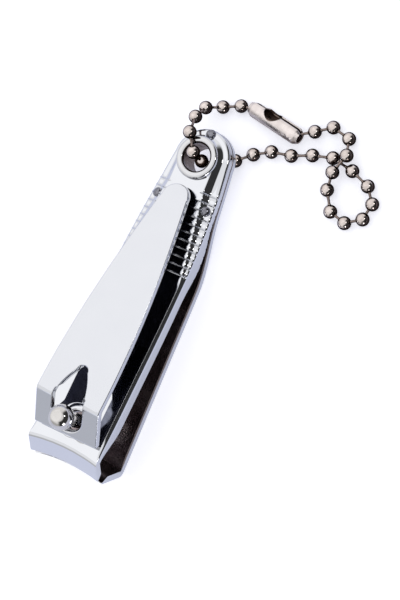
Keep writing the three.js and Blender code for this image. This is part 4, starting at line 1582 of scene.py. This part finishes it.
@dataclass
class Studio:
    """The table, the light and the camera: nothing of the object itself."""

    camera_place: tuple[float, float, float] = (169.74, 9.21, 361.93)
    right: tuple[float, float, float] = (0.83497, 0.38986, -0.38838)
    up: tuple[float, float, float] = (-0.35008, 0.92085, 0.17172)
    lens: float = 126.89
    shift: tuple[float, float] = (0.0331, -0.0920)
    shadow_tint: tuple[float, float, float] = (0.47, 0.47, 0.52)
    table_tint: tuple[float, float, float, float] = (0.8, 0.8, 0.8, 1)
    table_in_metal: tuple[float, float, float] = (0.6, 0.63, 0.75)
    glow_in_metal: float = 0.45
    daylight: tuple[float, float, float, float] = (0.97, 0.98, 1.0, 1)
    daylight_strength: float = 0.85
    dim_share: float = 0.96
    grey_share: float = 0.42
    softboxes: tuple[tuple[str, Point, float, float, float], ...] = (
        ("key_softbox", (-0.42, 0.28, 0.86), 700, 800, 0.4),
        ("small_softbox", (0.7, 0.38, 0.62), 600, 80, 0.14),
        ("low_softbox", (0.72, -0.68, 0.12), 600, 150, 0.46),
    )

    def build_camera(self) -> None:
        """Sets the camera at the photograph's viewing angle."""
        lens = bpy.data.cameras.new("camera")
        lens.sensor_fit = "VERTICAL"
        lens.sensor_height = 36
        lens.lens = self.lens
        lens.shift_x, lens.shift_y = self.shift
        lens.clip_start, lens.clip_end = 0.01, 10
        camera = bpy.data.objects.new("camera", lens)
        bpy.context.scene.collection.objects.link(camera)
        right = Vector(self.right).normalized()
        up = (Vector(self.up) - right * right.dot(Vector(self.up))).normalized()
        turn = Matrix((right, up, right.cross(up))).transposed().to_4x4()
        camera.matrix_world = Matrix.Translation(Vector(self.camera_place) * MM) @ turn
        bpy.context.scene.camera = camera

    def build_floor(self) -> None:
        """Lays the pale table, which shows white and keeps the object's shadow."""
        Bench.clear()
        bpy.ops.mesh.primitive_plane_add(size=4, location=(0, 0, -0.02 * MM))
        floor = bpy.context.object
        floor.name = "table"
        made = bpy.data.materials.new("table_white")
        made.use_nodes = True
        net = Network(made.node_tree)
        path = net.add("LightPath", {})
        mirrored = net.math("MAXIMUM", path["Is Glossy Ray"], path["Is Transmission Ray"])
        glow = net.math("MULTIPLY", mirrored, self.glow_in_metal)
        tints = {"Factor": mirrored, "A": self.table_tint, "B": (*self.table_in_metal, 1)}
        board = {
            "Roughness": 1.0,
            "Specular IOR Level": 0.0,
            "Emission Color": (*self.shadow_tint, 1),
            "Emission Strength": net.math("MAXIMUM", path["Is Camera Ray"], glow),
            "Base Color": net.add("Mix", tints, data_type="RGBA")["Result"],
        }
        net.fill(net.nodes["Principled BSDF"], board)
        floor.data.materials.append(made)

    def build_world(self) -> None:
        """Makes soft daylight all round, with a dim side that gives the metal its dark bands."""
        world = bpy.data.worlds.new("studio")
        bpy.context.scene.world = world
        world.use_nodes = True
        net = Network(world.node_tree)
        net.nodes.clear()
        room = net.add("TexCoord", {})["Generated"]
        split = net.add("SeparateXYZ", {0: room})

        def band(axis: str, low: float, high: float) -> bpy.types.NodeSocket:
            """A smooth step along one axis of the room."""
            limits = {"Value": split[axis], "From Min": low, "From Max": high}
            return net.add("MapRange", limits, interpolation_type="SMOOTHSTEP")["Result"]

        def rest_of(share: object) -> bpy.types.NodeSocket:
            """What is left of the whole."""
            return net.math("SUBTRACT", 1.0, share)

        dim = net.math("MULTIPLY", band("X", 0.05, 0.45), rest_of(band("Z", 0.62, 0.8)))
        near_table = rest_of(band("Z", 0.3, 0.55))
        grey = net.math("MULTIPLY", rest_of(band("Y", -0.85, -0.35)), near_table)
        bright = rest_of(net.math("MULTIPLY", dim, self.dim_share))
        level = net.math("MULTIPLY", bright, rest_of(net.math("MULTIPLY", grey, self.grey_share)))

        soft = {"Color": self.daylight, "Strength": self.daylight_strength}
        path = net.add("LightPath", {})
        mirrored = net.math("MAXIMUM", path["Is Glossy Ray"], path["Is Transmission Ray"])
        white = (1.0, 1.0, 1.0, 1)
        in_metal = {
            "Fac": mirrored,
            1: net.add("Background", soft)[0],
            2: net.add("Background", {"Color": white, "Strength": level})[0],
        }
        in_view = {
            "Fac": path["Is Camera Ray"],
            1: net.add("MixShader", in_metal)[0],
            2: net.add("Background", {"Color": white})[0],
        }
        net.add("OutputWorld", {"Surface": net.add("MixShader", in_view)[0]})

    def softbox(
        self, name: str, towards: Point, distance: float, size: float, power: float
    ) -> None:
        """Hangs a square softbox that faces the clipper.

        Args:
            name: Name of the lamp.
            towards: Direction from the clipper to the lamp.
            distance: Distance in millimetres.
            size: Side of the softbox in millimetres.
            power: Power in watts.
        """
        data = bpy.data.lights.new(name, "AREA")
        data.size = size * MM
        data.energy = power
        lamp = bpy.data.objects.new(name, data)
        bpy.context.scene.collection.objects.link(lamp)
        away = Vector(towards).normalized()
        lamp.location = away * distance * MM
        lamp.rotation_mode = "QUATERNION"
        lamp.rotation_quaternion = away.to_track_quat("Z", "Y")

    def build(self) -> None:
        """Sets up the camera, the table, the room and the softboxes."""
        bpy.context.scene.view_settings.view_transform = "Standard"
        self.build_camera()
        self.build_floor()
        self.build_world()
        for lamp in self.softboxes:
            self.softbox(*lamp)
        log.info("studio: camera, table, room and %d softboxes", len(self.softboxes))


def main() -> None:
    """Builds the studio and every piece."""
    logging.basicConfig(level=logging.INFO, format="%(name)s: %(message)s")
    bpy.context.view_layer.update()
    Studio().build()
    chain = BallChain()
    chain.build_balls()
    chain.build_connector()
    LowerArm().build()
    UpperArm().build()
    Lever().build()
    Post().build()
    Eyelet().build()
    log.info("%d pieces stand on the CAD frame", len(Pieces.made))


if __name__ == "__main__":
    main()
